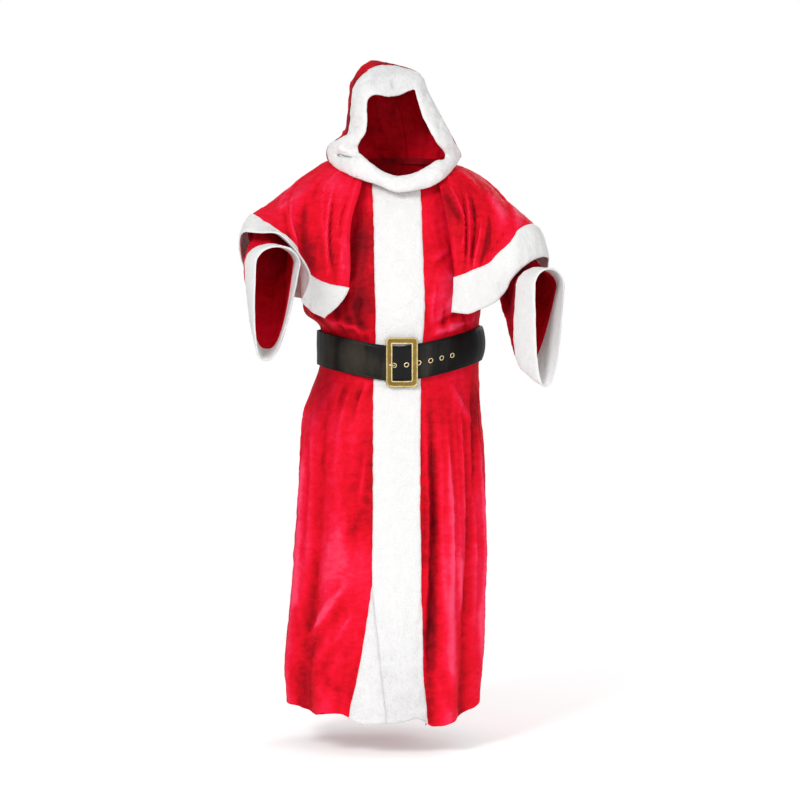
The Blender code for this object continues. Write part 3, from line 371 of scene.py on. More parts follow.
# On the face band, by place and share across: a crease splits the lobe, another dents the brow
FACE_FOLDS = [
    (10.38, 0.24, 11.30, 0.70, 0.15, -11), (10.85, 0.16, 11.75, 0.60, 0.18, 5), (10.02, 0.02, 10.38, 0.24, 0.14, -4),
    (-0.02, 0.10, 0.06, 0.50, 0.07, -3), (0.25, 0.1, 0.45, 0.7, 0.16, 1.5), (16.1, 0.15, 16.4, 0.8, 0.16, -1.5),
    (3.2, 0.2, 3.5, 0.85, 0.2, -1.5), (13.2, 0.2, 12.9, 0.8, 0.12, -2), (7.6, 0.1, 7.9, 0.8, 0.16, -1.5),
    (9.3, 0.1, 9.0, 0.7, 0.14, 1.5),
]
# On the sleeves, by degrees round and station
SLEEVE_FOLDS = {
    "right": [
        (20, 0.3, 60, 4.2, 7, -5), (52, 0.5, 84, 4.8, 6, 5), (96, 0.6, 112, 4.9, 7, -5), (128, 0.8, 140, 4.9, 7, 6),
        (165, 1.2, 172, 5.6, 8, -5), (205, 0.8, 214, 5.2, 8, 6), (240, 0.6, 232, 4.8, 7, -5),
        (268, 0.5, 262, 5.0, 7, 5), (300, 0.4, 285, 4.6, 8, -6), (335, 0.5, 322, 4.4, 8, 5),
        (70, 2.4, 110, 2.9, 0.12, -5), (40, 2.9, 88, 3.3, 0.12, 4),
    ],
    "left": [
        (15, 0.4, 48, 4.2, 7, -5), (45, 0.5, 76, 4.9, 6, 6), (88, 0.6, 104, 4.9, 7, -6), (120, 0.8, 133, 4.9, 7, 6),
        (160, 1.2, 168, 5.7, 8, -5), (198, 0.8, 208, 5.2, 8, 6), (238, 0.6, 230, 4.8, 7, -5),
        (266, 0.5, 258, 5.0, 7, 6), (300, 0.4, 286, 4.6, 8, -6), (332, 0.5, 320, 4.4, 8, 5),
        (60, 2.5, 104, 3.0, 0.12, -5), (96, 3.0, 140, 3.5, 0.12, 5),
    ],
}
HOOD_FOLDS = [
    (1.2, 0.15, 1.6, 0.95, 0.16, -5), (1.9, 0.1, 2.4, 0.9, 0.16, 5), (2.9, 0.12, 3.3, 0.9, 0.18, -5),
    (3.9, 0.1, 4.1, 0.7, 0.2, 4), (5.0, 0.1, 4.6, 0.6, 0.16, -4), (4.7, 0.55, 5.2, 0.98, 0.13, 5),
    (5.5, 0.5, 5.6, 0.97, 0.11, -5), (6.6, 0.5, 6.4, 0.98, 0.12, 5), (7.2, 0.1, 7.5, 0.7, 0.16, 4),
    (7.9, 0.15, 7.3, 0.95, 0.14, -5), (8.6, 0.1, 8.2, 0.95, 0.15, 5), (9.4, 0.1, 9.0, 0.95, 0.14, -5),
    (10.1, 0.1, 9.8, 0.9, 0.12, 4),
]


# ---------------------------------------------------------------- curves
def spline(rows, place, closed=False):
    """Catmull-Rom through rows at each place. Rows may differ from point to point."""
    place = np.asarray(place, float)
    count = len(rows)
    start = np.floor(place).astype(int)
    if not closed:
        start = np.clip(start, 0, count - 2)
    part = (place - start)[..., None]

    def row(index):
        index = index % count if closed else np.clip(index, 0, count - 1)
        if rows.ndim == 2:
            return rows[index]
        return np.take_along_axis(rows, index[None, ..., None], axis=0)[0]

    before, first, second, after = (row(start + step) for step in (-1, 0, 1, 2))
    return 0.5 * (2 * first + (second - before) * part + (2 * before - 5 * first + 4 * second - after) * part ** 2
                  + (3 * first - before - 3 * second + after) * part ** 3)


def smooth(value):
    value = np.clip(value, 0.0, 1.0)
    return value * value * (3 - 2 * value)


def bell(distance, width):
    return np.exp(-(distance / width) ** 2)


def between(run, rise, fall):
    """1 along the middle of a crease, easing to 0 at both its ends."""
    return smooth(run * rise) * smooth((1 - run) * fall)


def unit(vectors):
    return vectors / np.maximum(np.linalg.norm(vectors, axis=-1, keepdims=True), 1e-12)


def wrap(angle):
    return (angle + 180.0) % 360.0 - 180.0


def sine_cosine(degrees):
    return np.sin(np.radians(degrees)), np.cos(np.radians(degrees))


def lengths(points, axis):
    """How far each point of a grid lies along its row (1) or column (0), in metres."""
    steps = np.linalg.norm(np.diff(points, axis=axis), axis=-1)
    return np.insert(np.cumsum(steps, axis), 0, 0, axis)


def lumps(points, size, depth, seed):
    """Smooth uneven relief at each point, for cloth and pile that is never quite even."""
    generator = np.random.default_rng(seed)
    total = np.zeros(points.shape[:-1])
    for octave in range(3):
        for _ in range(5):
            way = unit(generator.normal(size=3))
            phase = generator.uniform(0, math.tau)
            wave = points @ way * math.tau / (size / 1.9 ** octave)
            cross = points @ unit(generator.normal(size=3)) * math.tau / (size * 1.37 / 1.9 ** octave)
            total += np.sin(wave + phase) * np.sin(cross + 2.1 * phase) / 1.9 ** octave
    return total * depth / 3.2


# ---------------------------------------------------------------- folds and creases
def fold_height(angle, row):
    """The solids' own folds, in metres."""
    total = np.zeros(np.shape(angle))
    for middle, width, depth, foot, head in FOLDS:
        fade = smooth((head - row) / (head - foot) * FOLD_FADE)
        if foot > HEM:
            fade = fade * smooth((row - foot) / BODICE_FOLD_RISE) * BODICE_FOLD_GAIN
        inside = (row >= foot) & (row <= head)
        total += np.where(inside, depth * fade * bell(wrap(angle - middle), width), 0)
    return total * MM


def crease_height(angle, x, z):
    """Fine creases, from the angle and place on the robe in millimetres."""
    total = np.zeros(np.shape(angle))
    for middle, top, foot, drift, width, depth in CREASES:
        run = (top - z) / (top - foot)
        along = np.clip(run, 0, 1)
        off = wrap(angle - (middle + drift * along))
        total += depth * between(run, 4, 2.2) * bell(off, width * (0.8 + 0.5 * along))
    for x0, z0, x1, z1, width, depth in SLANTS:
        dx, dz = x1 - x0, z1 - z0
        run = ((x - x0) * dx + (z - z0) * dz) / (dx * dx + dz * dz)
        off = ((x - x0) * dz - (z - z0) * dx) / math.hypot(dx, dz)
        total += depth * between(run, 3, 3) * (np.abs(wrap(angle)) < 90) * bell(off, width)
    return total * MM


def fold_relief(folds, u, v, period=None):
    """Creases on a surface of its own, in metres. One that hardly climbs runs along u, the rest along v."""
    total = np.zeros(np.broadcast_shapes(np.shape(u), np.shape(v)))
    for u0, v0, u1, v1, width, depth in folds:
        if abs(v1 - v0) > abs(u1 - u0) * 0.02:
            run = (v - v0) / (v1 - v0)
            along = np.clip(run, 0, 1)
            off = u - (u0 + (u1 - u0) * along)
            if period:
                off = (off + period / 2) % period - period / 2
        else:
            run = (u - u0) / (u1 - u0)
            along = np.clip(run, 0, 1)
            off = v - (v0 + (v1 - v0) * along)
        total += depth * between(run, 4, 3) * bell(off, width * (0.75 + 0.5 * along))
    return total * MM


def patch_tone_and_painted_light(patches, u, v):
    """How light or dark the patches make the cloth: brushed pile, painted highlight and painted shade."""
    total = np.zeros(np.broadcast_shapes(np.shape(u), np.shape(v)))
    for middle_u, middle_v, wide, tall, tone_and_painted_light in patches:
        total += tone_and_painted_light * np.exp(-((u - middle_u) / wide) ** 2 - ((v - middle_v) / tall) ** 2)
    return total


def turned(relief):
    """How much painted highlight a ridge (+) gets and how much painted shade a trough (-) gets."""
    return np.clip(relief / PAINTED_FOLD_LIGHT_RELIEF, -1, 1) * PAINTED_FOLD_LIGHT_SHARE


# ---------------------------------------------------------------- the robe's surface
def rounded(value):
    return np.copysign(np.abs(value) ** (2 / ROUNDNESS), value)


def ring_parts(angle, row):
    """A ring's heights at the side, front and back, the sine and cosine of the angle, and x and y there."""
    side, front, back, right, left, ahead, behind = np.moveaxis(spline(RINGS, row), -1, 0)
    sine, cosine = sine_cosine(angle)
    x = (right + left) / 2 + (left - right) / 2 * rounded(sine)
    y = (ahead + behind) / 2 - (behind - ahead) / 2 * rounded(cosine)
    return (side, front, back), sine, cosine, x, y


def ring_height(heights, cosine):
    side, front, back = heights
    return side + (np.where(cosine > 0, front, back) - side) * cosine ** 2


def hem_height(angle):
    """A line through the hem's points that levels out at each, as a hem does at its folds."""
    xs, ys = HEM_LINE.T
    index = np.clip(np.searchsorted(xs, angle) - 1, 0, len(xs) - 2)
    part = (angle - xs[index]) / (xs[index + 1] - xs[index])
    return ys[index] + (ys[index + 1] - ys[index]) * 0.5 * (part + smooth(part))


def body(angle, row, creases=1.0):
    """The robe's outer surface: degrees from the front centre, place in RINGS."""
    angle, row = np.broadcast_arrays(np.asarray(angle, float), np.asarray(row, float))
    heights, sine, cosine, x, y = ring_parts(angle, row)
    low = row < 1
    z = ring_height([np.where(low, fixed, free) for fixed, free in zip(RINGS[1], heights)], cosine)
    hem = hem_height(wrap(angle))
    z = np.where(low, hem + (z - hem) * row, z)
    swell = fold_height(angle, row) + creases * crease_height(angle, x, z)
    return np.stack([x * MM + swell * sine, y * MM - swell * cosine, z * MM], -1)


def robe_relief(angle, row):
    """Folds and creases of the robe, in metres, for the painted light on them."""
    heights, _, cosine, x, _ = ring_parts(angle, row)
    return 0.5 * fold_height(angle, row) + crease_height(angle, x, ring_height(heights, cosine))


def robe_tone_and_painted_light(angle, row):
    """How light the robe is painted: painted highlight on folds, painted shade between them and behind the belt, and
    the patches.
    """
    x, _, z = np.moveaxis(body(angle, row) / MM, -1, 0)
    ahead = sine_cosine(angle)[1] > 0
    patches = np.where(ahead, patch_tone_and_painted_light(FRONT_PATCHES, x, z), patch_tone_and_painted_light(BACK_PATCHES, x, z))
    # painted shade, near black behind the belt, so the cloth shows dark through the eyelets
    painted_shade_behind_belt = -1.8 * bell(z * MM - belt_middle(angle), 0.03)
    relief = robe_relief(angle, row)
    # a painted highlight along the front's higher ridges
    painted_highlight = 0.7 * smooth((relief - 0.004) / 0.004) * ahead
    return np.clip(relief / PAINTED_FOLD_LIGHT_RELIEF, -1.2, 1) * PAINTED_FOLD_LIGHT_SHARE + painted_highlight + patches + painted_shade_behind_belt


def waist_ring(angle):
    """The robe without its creases, at the waist."""
    return body(angle, np.full(np.shape(angle), float(WAIST)), creases=0.0)


def belt_lift(angle):
    """How far the belt's middle line lies over the waist ring."""
    x = waist_ring(angle)[..., 0] / MM
    first, last = BELT_LIFT[0], BELT_LIFT[-1]
    behind = first[1] + (last[1] - first[1]) * (x - first[0]) / (last[0] - first[0])
    return np.where(sine_cosine(angle)[1] > 0, np.interp(x, *BELT_LIFT.T), behind) * MM


def belt_middle(angle):
    return waist_ring(angle)[..., 2] + belt_lift(angle)


BODY_STEP = (0.5, 0.02)      # steps in u and v over which a surface's slope is taken
RIB_STEP = (0.01, 0.01)


def normals(surface, u, v, step=BODY_STEP):
    along = surface(u + step[0], v) - surface(u - step[0], v)
    across = surface(u, v + step[1]) - surface(u, v - step[1])
    return unit(np.cross(along, across))


def angle_at(x_mm, row):
    """The angle on the robe's front where x is reached."""
    right, left = np.moveaxis(spline(RINGS, row)[..., 3:5], -1, 0)
    sideways = np.clip((x_mm - (right + left) / 2) / ((left - right) / 2), -1, 1)
    return np.degrees(np.copysign(np.arcsin(np.abs(sideways) ** (ROUNDNESS / 2)), sideways))


def seam_x(column, row):
    return np.interp(spline(RINGS, row)[..., 1], BAND_EDGES[:, 0], BAND_EDGES[:, column])


def armhole(row):
    """Degrees that the armhole takes from the side seam at this row."""
    place = (row - UNDERARM) / (SHOULDER_TIP - UNDERARM) * 2 - 1
    return ARMHOLE_REACH * np.sqrt(np.maximum(0.0, 1 - place * place))


# ---------------------------------------------------------------- the other surfaces
def sleeve_ring(side, index, turn):
    centres = SLEEVES[side][:, :3] * MM
    above, below, wide, low, sway = SLEEVES[side][index, 3:]
    ahead = centres[min(index + 1, len(centres) - 1)] - centres[max(index - 1, 0)]
    ahead[2] *= RING_TILT
    ahead = unit(ahead)
    up = unit(np.array([0, 0, 1]) - ahead * ahead[2])
    inward = np.cross(ahead, up) if side == "left" else np.cross(up, ahead)
    sine, cosine = (value[..., None] for value in sine_cosine(turn))
    over = centres[index] + (up * above * cosine + inward * wide * sine) * MM
    hang = np.abs(cosine) ** HANG_ROUNDNESS
    half = (wide + (low - wide) * hang) * np.copysign(np.abs(sine) ** HANG_ROUNDNESS, sine)
    under = centres[index] + (np.array([0, 0, -below]) * hang + inward * (half + sway * hang)) * MM
    return np.where(cosine >= 0, over, under)


def armhole_point(side, turn):
    sine, cosine = sine_cosine(turn)
    sign = -1 if side == "right" else 1
    return body(sign * (SIDE_SEAM - ARMHOLE_REACH * sine), UNDERARM + 1 + cosine)


def sleeve(side):
    """A sleeve's surface: degrees round it from the top, place in SLEEVES with the armhole as 0."""
    def surface(turn, place):
        turn, place = np.broadcast_arrays(np.asarray(turn, float), np.asarray(place, float))
        rings = [sleeve_ring(side, index, turn) for index in range(len(SLEEVES[side]))]
        return spline(np.stack([armhole_point(side, turn), *rings]), place)
    return surface


def cape(rib, place):
    """The capelet's surface: place in RIBS, and 0 at the neck, 3 at the plush band, 4 at its hem."""
    rib, place = np.broadcast_arrays(np.asarray(rib, float), np.asarray(place, float))
    row = spline(RIBS, rib)
    neck_row = np.full(rib.shape, float(NECK))
    neck = body(row[..., 0], neck_row) + normals(body, row[..., 0], neck_row) * NECK_LAYER
    point = spline(np.stack([neck] + [row[..., start:start + 3] * MM for start in (1, 4, 7, 10)]), place)
    swell = sum(depth * bell(rib - middle, width) for middle, width, depth in DRAPES)[..., None] * MM
    return point + unit(point * np.array([1, 1, 0])) * swell * smooth(place / CAPE_HEM)[..., None]


def face_band(place, across):
    """The band round face and neckline: place in FACE_BAND, 0 at the inner edge and 1 at the outer."""
    place, across = np.broadcast_arrays(np.asarray(place, float), np.asarray(across, float))
    row = spline(FACE_BAND, place, closed=True)
    ahead = spline(FACE_BAND, place + 0.05, closed=True) - row
    inner, outer = row[..., :3] * MM, row[..., 3:] * MM
    out = unit(np.cross(ahead[..., :3] + ahead[..., 3:], outer - inner))
    across = across[..., None]
    return inner + (outer - inner) * across + out * BAND_BULGE * np.sin(math.pi * across)


def hood(place, back):
    """The hood: place along its face edge, 0 at the face and 1 at the neck."""
    place, back = np.broadcast_arrays(np.asarray(place, float), np.asarray(back, float))
    face = face_band(HOOD_FIRST_ROW + place, np.ones(place.shape))
    share = place / HOOD_END
    rib = HOOD_NECK_RIBS[0] + (HOOD_NECK_RIBS[1] - HOOD_NECK_RIBS[0]) * share
    neck = cape(rib, np.zeros(rib.shape)) + np.array([0, 0, HOOD_NECK_GAP])
    crown, outward = np.sin(math.pi * share), -np.cos(math.pi * share)
    side, up = np.moveaxis(spline(HOOD_BROW, place), -1, 0)
    first = face + np.stack([side * MM, HOOD_DEEP + HOOD_DEEPER * crown, up * MM], -1)
    second = neck + np.array(HOOD_NAPE) + np.stack(
        [NAPE_WIDER * outward, NAPE_DEEPER * crown, NAPE_RISE * smooth(crown * 2) + NAPE_HIGHER * crown], -1)
    rest, back = (1 - back)[..., None], back[..., None]
    return face * rest ** 3 + first * 3 * rest ** 2 * back + second * 3 * rest * back ** 2 + neck * back ** 3


# ---------------------------------------------------------------- materials
MATERIAL = {}


def new_material(name):
    made = bpy.data.materials.new(name)
    made.use_nodes = True
    MATERIAL[name] = made
    return made.node_tree, made.node_tree.nodes["Principled BSDF"]


def put(tree, socket, value):
    """Links a socket to another one, or gives it its value."""
    if isinstance(value, bpy.types.NodeSocket):
        tree.links.new(value, socket)
    else:
        socket.default_value = value


def add(tree, kind, **settings):
    """A node, with its inputs and its own settings by name."""
    node = tree.nodes.new("ShaderNode" + kind)
    for key, value in settings.items():
        if key.title() in node.inputs:
            put(tree, node.inputs[key.title()], value)
        else:
            setattr(node, key, value)
    return node


def dress(tree, shader, values):
    for name, value in values.items():
        put(tree, shader.inputs[name], value)


def here(tree):
    return add(tree, "TexCoord").outputs["Object"]


def stretched(tree, vector, scale):
    return add(tree, "Mapping", vector=vector, scale=scale).outputs["Vector"]


def along_cloth(tree, scale):
    return stretched(tree, add(tree, "UVMap", uv_map="cloth").outputs["UV"], scale)


def noise(tree, vector, scale, detail, roughness, distortion=0.0):
    return add(tree, "TexNoise", vector=vector, scale=scale, detail=detail, roughness=roughness,
               distortion=distortion).outputs["Fac"]


# the cloth's own tone and wear together with painted highlight and painted shade, point by point
def tone_and_painted_light_of(tree):
    return add(tree, "Attribute", attribute_name="tone_and_painted_light").outputs["Fac"]


def weighed(tree, total, *parts, clamp=False):
    """A sum of values, each times its weight."""
    for value, weight in parts:
        node = add(tree, "Math", operation="MULTIPLY_ADD", use_clamp=clamp)
        for socket, part in zip(node.inputs, (value, weight, total)):
            put(tree, socket, part)
        total = node.outputs["Value"]
    return total


def ramp(tree, fac, *stops):
    """A colour for each value: places and their colours."""
    node = add(tree, "ValToRGB", fac=fac)
    elements = node.color_ramp.elements
    while len(elements) < len(stops):
        elements.new(0.5)
    for element, (position, *colour) in zip(elements, stops):
        element.position = position
        element.color = (*colour, 1)
    return node.outputs["Color"]


def bumps(tree, *layers):
    """Relief from the broadest to the finest: height, distance and strength."""
    normal = None
    for height, distance, strength in layers:
        node = add(tree, "Bump", height=height, distance=distance, strength=strength)
        if normal is not None:
            tree.links.new(normal, node.inputs["Normal"])
        normal = node.outputs["Normal"]
    return normal


def mix_shaders(tree, fac, first, second, output):
    mix = add(tree, "MixShader")
    for socket, value in zip(mix.inputs, (fac, first, second)):
        tree.links.new(value, socket)
    tree.links.new(mix.outputs["Shader"], tree.nodes[output].inputs["Surface"])


def make_velvet():
    """Crushed velvet, mottled in soft patches and fine wrinkles, with painted highlights on the ridges and painted
    shade in the troughs and insides from tone_and_painted_light.
    """
    tree, shader = new_material("velvet")
    where = here(tree)
    patches = noise(tree, where, 8.0, 3.0, 0.5, 0.5)
    streaks = noise(tree, along_cloth(tree, (34.0, 4.2, 1.0)), 1.0, 3.0, 0.5, 0.3)
    crush = noise(tree, stretched(tree, where, (44.0, 44.0, 66.0)), 1.0, 4.0, 0.6, 0.5)
    grain = noise(tree, where, 560.0, 2.0, 0.7)
    light = weighed(tree, 0.02, (streaks, 0.20), (patches, 0.30), (crush, 0.32), (grain, 0.14), (tone_and_painted_light_of(tree), 0.20))
    dress(tree, shader, {
        "Base Color": ramp(tree, light, (0.12, 0.13, 0.0012, 0.005), (0.30, 0.33, 0.002, 0.008),
                           (0.43, 0.60, 0.003, 0.013), (0.52, 0.70, 0.0045, 0.022), (0.62, 0.74, 0.011, 0.046),
                           (0.82, 0.80, 0.050, 0.115)),
        "Roughness": weighed(tree, 0.72, (crush, -0.25)),
        "Specular IOR Level": 0.05,
        "Sheen Weight": 0.04,
        "Sheen Roughness": 0.35,
        "Sheen Tint": (1.0, 0.14, 0.26, 1),
        "Normal": bumps(tree, (crush, 0.005, 0.32), (streaks, 0.006, 0.22), (grain, 0.0005, 0.5)),
    })


def make_plush():
    """Short white pile: fine tufts over soft shallow waves; painted shade from tone_and_painted_light greys it, down to
    near black at the ramp's low end.
    """
    tree, shader = new_material("plush")
    where = here(tree)
    tufts = noise(tree, where, 300.0, 3.0, 0.7, 0.8)
    waves = noise(tree, where, 30.0, 3.0, 0.55, 0.4)
    brushed_down = noise(tree, stretched(tree, where, (120.0, 120.0, 46.0)), 1.0, 3.0, 0.6, 0.6)
    light = weighed(tree, 0.23, (brushed_down, 0.08), (waves, 0.16), (tufts, 0.30), (tone_and_painted_light_of(tree), 0.10))
    dress(tree, shader, {
        "Base Color": ramp(tree, light, (0.05, 0.02, 0.02, 0.02), (0.30, 0.56, 0.56, 0.565),
                           (0.42, 0.735, 0.735, 0.735), (0.52, 0.785, 0.785, 0.78), (0.64, 0.82, 0.82, 0.81)),
        "Roughness": 0.95,
        "Specular IOR Level": 0.10,
        "Sheen Weight": 0.12,
        "Sheen Roughness": 0.6,
        "Normal": bumps(tree, (waves, 0.008, 0.35), (brushed_down, 0.003, 0.5), (tufts, 0.0024, 0.8)),
    })


def make_leather():
    """Black faux leather, creased in soft bands across, with a fine pressed grain; painted reflections lighten it and
    painted shade darkens it, by tone_and_painted_light.
    """
    tree, shader = new_material("leather")
    where = here(tree)
    bands = noise(tree, along_cloth(tree, (17.0, 2.6, 1.0)), 1.0, 3.0, 0.5, 0.5)
    cloud = noise(tree, where, 16.0, 4.0, 0.6, 0.4)
    fine = noise(tree, where, 300.0, 4.0, 0.6)
    grain = add(tree, "TexVoronoi", vector=where, scale=900.0).outputs["Distance"]
    light = weighed(tree, 0.0, (cloud, 0.35), (bands, 0.65), (tone_and_painted_light_of(tree), 0.16))
    dress(tree, shader, {
        "Base Color": ramp(tree, light, (0.32, 0.0015, 0.0012, 0.0012), (0.44, 0.006, 0.005, 0.0045),
                           (0.54, 0.020, 0.0165, 0.012), (0.68, 0.034, 0.029, 0.021)),
        "Roughness": weighed(tree, 0.16, (bands, 0.30), (fine, 0.20)),
        "Specular IOR Level": 0.17,
        "Normal": bumps(tree, (bands, 0.010, 0.45), (grain, 0.0003, 0.25)),
    })


def make_brass():
    """Antique gold: brown in the hollows, worn pale along the edges that stand out, and in painted shade in the
    eyelets' holes and on the buckle's back (tone_and_painted_light).
    """
    tree, shader = new_material("brass")
    where = here(tree)
    cloud = noise(tree, where, 90.0, 4.0, 0.65, 0.5)
    speckle = noise(tree, where, 800.0, 3.0, 0.65)
    light = weighed(tree, 0.10, (speckle, 0.35), (cloud, 0.45), (tone_and_painted_light_of(tree), 0.34))
    dress(tree, shader, {
        "Base Color": ramp(tree, light, (0.12, 0.085, 0.052, 0.012), (0.36, 0.23, 0.150, 0.036),
                           (0.56, 0.37, 0.270, 0.078), (0.74, 0.62, 0.49, 0.22), (0.92, 0.86, 0.74, 0.46)),
        "Metallic": 0.85,
        "Roughness": weighed(tree, 0.28, (cloud, 0.28)),
        "Normal": bumps(tree, (speckle, 0.0006, 0.45)),
    })


# ---------------------------------------------------------------- making pieces
def marks(length, spacing):
    """Shares of a length in metres, closer together at both ends, where the edge turns in."""
    near = np.array([0, 0.0007, 0.0018, 0.0035, 0.006])
    start, end = near[-1], length - near[-1]
    middle = np.linspace(start, end, max(2, round((end - start) / spacing) + 1))
    return np.concatenate([near[:-1], middle, length - near[:-1][::-1]]) / length


def new_piece(name, points, faces, finish, node, sharp, tone_and_painted_light, uvs=None):
    """A mesh that rides on the part's body. tone_and_painted_light is how light each point is, from its own tone and
    wear and from painted highlight and painted shade.
    """
    mesh = bpy.data.meshes.new(name)
    mesh.from_pydata(points, [], faces)
    mesh.attributes.new("tone_and_painted_light", "FLOAT", "POINT").data.foreach_set("value", np.asarray(tone_and_painted_light, np.float32).ravel())
    if uvs is not None:
        layer = mesh.uv_layers.new(name="cloth")
        layer.uv.foreach_set("vector", np.asarray(uvs, np.float32).ravel())
    mesh.materials.append(MATERIAL[finish])
    mesh.shade_smooth()
    mesh.set_sharp_from_angle(angle=math.radians(sharp))
    made = bpy.data.objects.new(name, mesh)
    bpy.context.scene.collection.objects.link(made)
    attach(made, "root")
    if node:
        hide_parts(node)
    return made


def quads(index):
    """Four corners for each cell of a grid."""
    return np.stack([index[:-1, :-1], index[:-1, 1:], index[1:, 1:], index[1:, :-1]], 2)


def ringed(grid, closed):
    return np.concatenate([grid, grid[:, :1]], 1) if closed else grid


def shell(name, outer, inner, finish, node, tone_and_painted_light, sharp, closed=False, inside=INSIDE_PAINTED_SHADE):
    """A closed wall between two grids of points, rows by columns."""
    rows, columns = outer.shape[:2]
    offset = rows * columns
    index = ringed(np.arange(offset).reshape(rows, columns), closed)
    front = quads(index).reshape(-1, 4)
    # lengths along the cloth, for the creases and streaks that follow it
    loop = ringed(outer, closed)
    flat = np.stack([np.tile(lengths(loop, 1)[rows // 2], (rows, 1)), lengths(loop, 0)], -1)
    corners = quads(flat).reshape(-1, 4, 2)
    faces, uvs = [front, front[:, ::-1] + offset], [corners, corners[:, ::-1] + 0.37]
    rims = [(index[0], flat[0]), (index[-1][::-1], flat[-1][::-1])]
    if not closed:
        rims += [(index[::-1, 0], flat[::-1, 0]), (index[:, -1], flat[:, -1])]
    for line, along in rims:
        faces.append(np.stack([line[1:], line[:-1], line[:-1] + offset, line[1:] + offset], -1))
        uvs.append(np.stack([along[1:], along[:-1], along[:-1], along[1:]], -2))
    faces, uvs = np.concatenate(faces), np.concatenate(uvs)
    points = np.concatenate([outer.reshape(-1, 3), inner.reshape(-1, 3)])
    middle = front[len(front) // 2]
    facing = np.cross(points[middle[1]] - points[middle[0]], points[middle[3]] - points[middle[0]])
    if np.dot(facing, points[middle[0]] - points[middle[0] + offset]) < 0:
        faces, uvs = faces[:, ::-1], uvs[:, ::-1]
    # the inner wall takes inside: painted shade, as insides lie in shadow
    tone_and_painted_light = np.concatenate([tone_and_painted_light.ravel(), np.full(tone_and_painted_light.size, inside)])
    return new_piece(name, points, faces.tolist(), finish, node, sharp, tone_and_painted_light, uvs.reshape(-1, 2))


def panel(surface, us, vs, step, flip):
    """Points of a surface, the way out at each, and how far each lies from the left, right, top and bottom edges."""
    points = surface(us, vs)
    across, down = lengths(points, 1), lengths(points, 0)
    edges = {"l": across, "r": across[:, -1:] - across, "t": down[-1:] - down, "b": down}
    return points, normals(surface, us, vs, step) * flip, edges


def velvet_piece(node, surface, us, vs, tone_and_painted_light, step=BODY_STEP, closed=False, seams="lr", dip=0.0, uneven=0.0016,
                 size=0.05, flip=1, flange=FLANGE, creases=0.0, inside=INSIDE_PAINTED_SHADE):
    """A cloth panel over a surface. us and vs are grids; seams names the edges that turn in."""
    name = node + "_cloth"
    points, out, edges = panel(surface, us, vs, step, flip)
    lift = creases + lumps(points, size, uneven, len(name))
    inset = np.zeros(us.shape)
    for edge in seams:
        lift = lift * smooth(edges[edge] / CREASE_CLEAR) - SEAM_DIP * bell(edges[edge], SEAM_REACH)
        inset = np.maximum(inset, flange * (edges[edge] < 1e-6))
    top = points + out * (lift + dip)[..., None]
    low = points + out * (lift + dip - VELVET - inset)[..., None]
    shell(name, top, low, "velvet", node, tone_and_painted_light, 60, closed, inside)


def plush_piece(node, surface, us, vs, step=BODY_STEP, rise=PLUSH_RISE, thickness=PLUSH, closed=False, sides="lrtb",
                flip=1, radius=PLUSH_RADIUS, creases=0.0, shade=0.0):
    """A band of plush: its pile rounds down to the backing at every side named."""
    name = node + "_plush"
    points, out, edges = panel(surface, us, vs, step, flip)
    full, outward = np.ones(us.shape), np.zeros(points.shape)
    ways = {"l": points[:, :1] - points[:, 4:5], "r": points[:, -1:] - points[:, -5:-4],
            "t": points[-1:] - points[-5:-4], "b": points[:1] - points[4:5]}
    for side in sides:
        share = np.clip(edges[side] / radius, 0, 1)
        full = np.minimum(full, 0.2 + 0.8 * np.sqrt(1 - (1 - share) ** 2))
        outward = outward + unit(ways[side]) * (PLUSH_OVERHANG * (1 - share) ** 2)[..., None]
    uneven = (lumps(points, 0.034, PLUSH_UNEVEN, len(name)) + lumps(points, 0.0095, PLUSH_TUFT, len(name) + 5)
              + creases)
    top = points + out * (rise - thickness + thickness * full + uneven * full)[..., None] + outward
    top += np.stack([lumps(points, 0.045, PLUSH_WANDER, seed) for seed in (21, 22, 23)], -1)
    low = points + out * (rise - thickness)
    # painted shade: darker in creases, near black in one deeper than PLUSH_CREASE, darker where the pile rounds down to
    # its edges, plus the shade given
    depth = (creases + np.zeros(us.shape)) / PLUSH_CREASE
    tone_and_painted_light = np.clip(depth, -1, 1) - 3.5 * np.clip(-depth - 1, 0, 1) - 0.5 * (1 - full) + shade
    shell(name, top, low, "plush", node, tone_and_painted_light, 70, closed)


# ---------------------------------------------------------------- robe
def fine_rows(spacing):
    """Places in RINGS for the robe's rows, closer together at the hem and where the armhole turns."""
    near_hem = [0, 0.012, 0.03, 0.06]
    rows = []
    for index in range(NECK):
        if index in (UNDERARM, UNDERARM + 1):
            continue
        rise = np.linalg.norm(body(45, index + 1) - body(45, index))
        rows.extend(np.linspace(index, index + 1, max(3, round(rise / spacing)) + 1))
    rows.extend(UNDERARM + 1 - np.cos(np.linspace(0, math.pi, round(0.3 / spacing))))
    return np.unique(np.round(near_hem + [row for row in rows if row > 0.05], 5))


ROWS = fine_rows(0.0085)


def across_robe(start, end, width, spacing):
    """Angles across a panel, from one edge to the other, and the row of each."""
    shares = marks(width, spacing)
    start, end = start[:, None], end[:, None]
    return start + (end - start) * shares[None, :], np.repeat(ROWS[:, None], len(shares), 1)


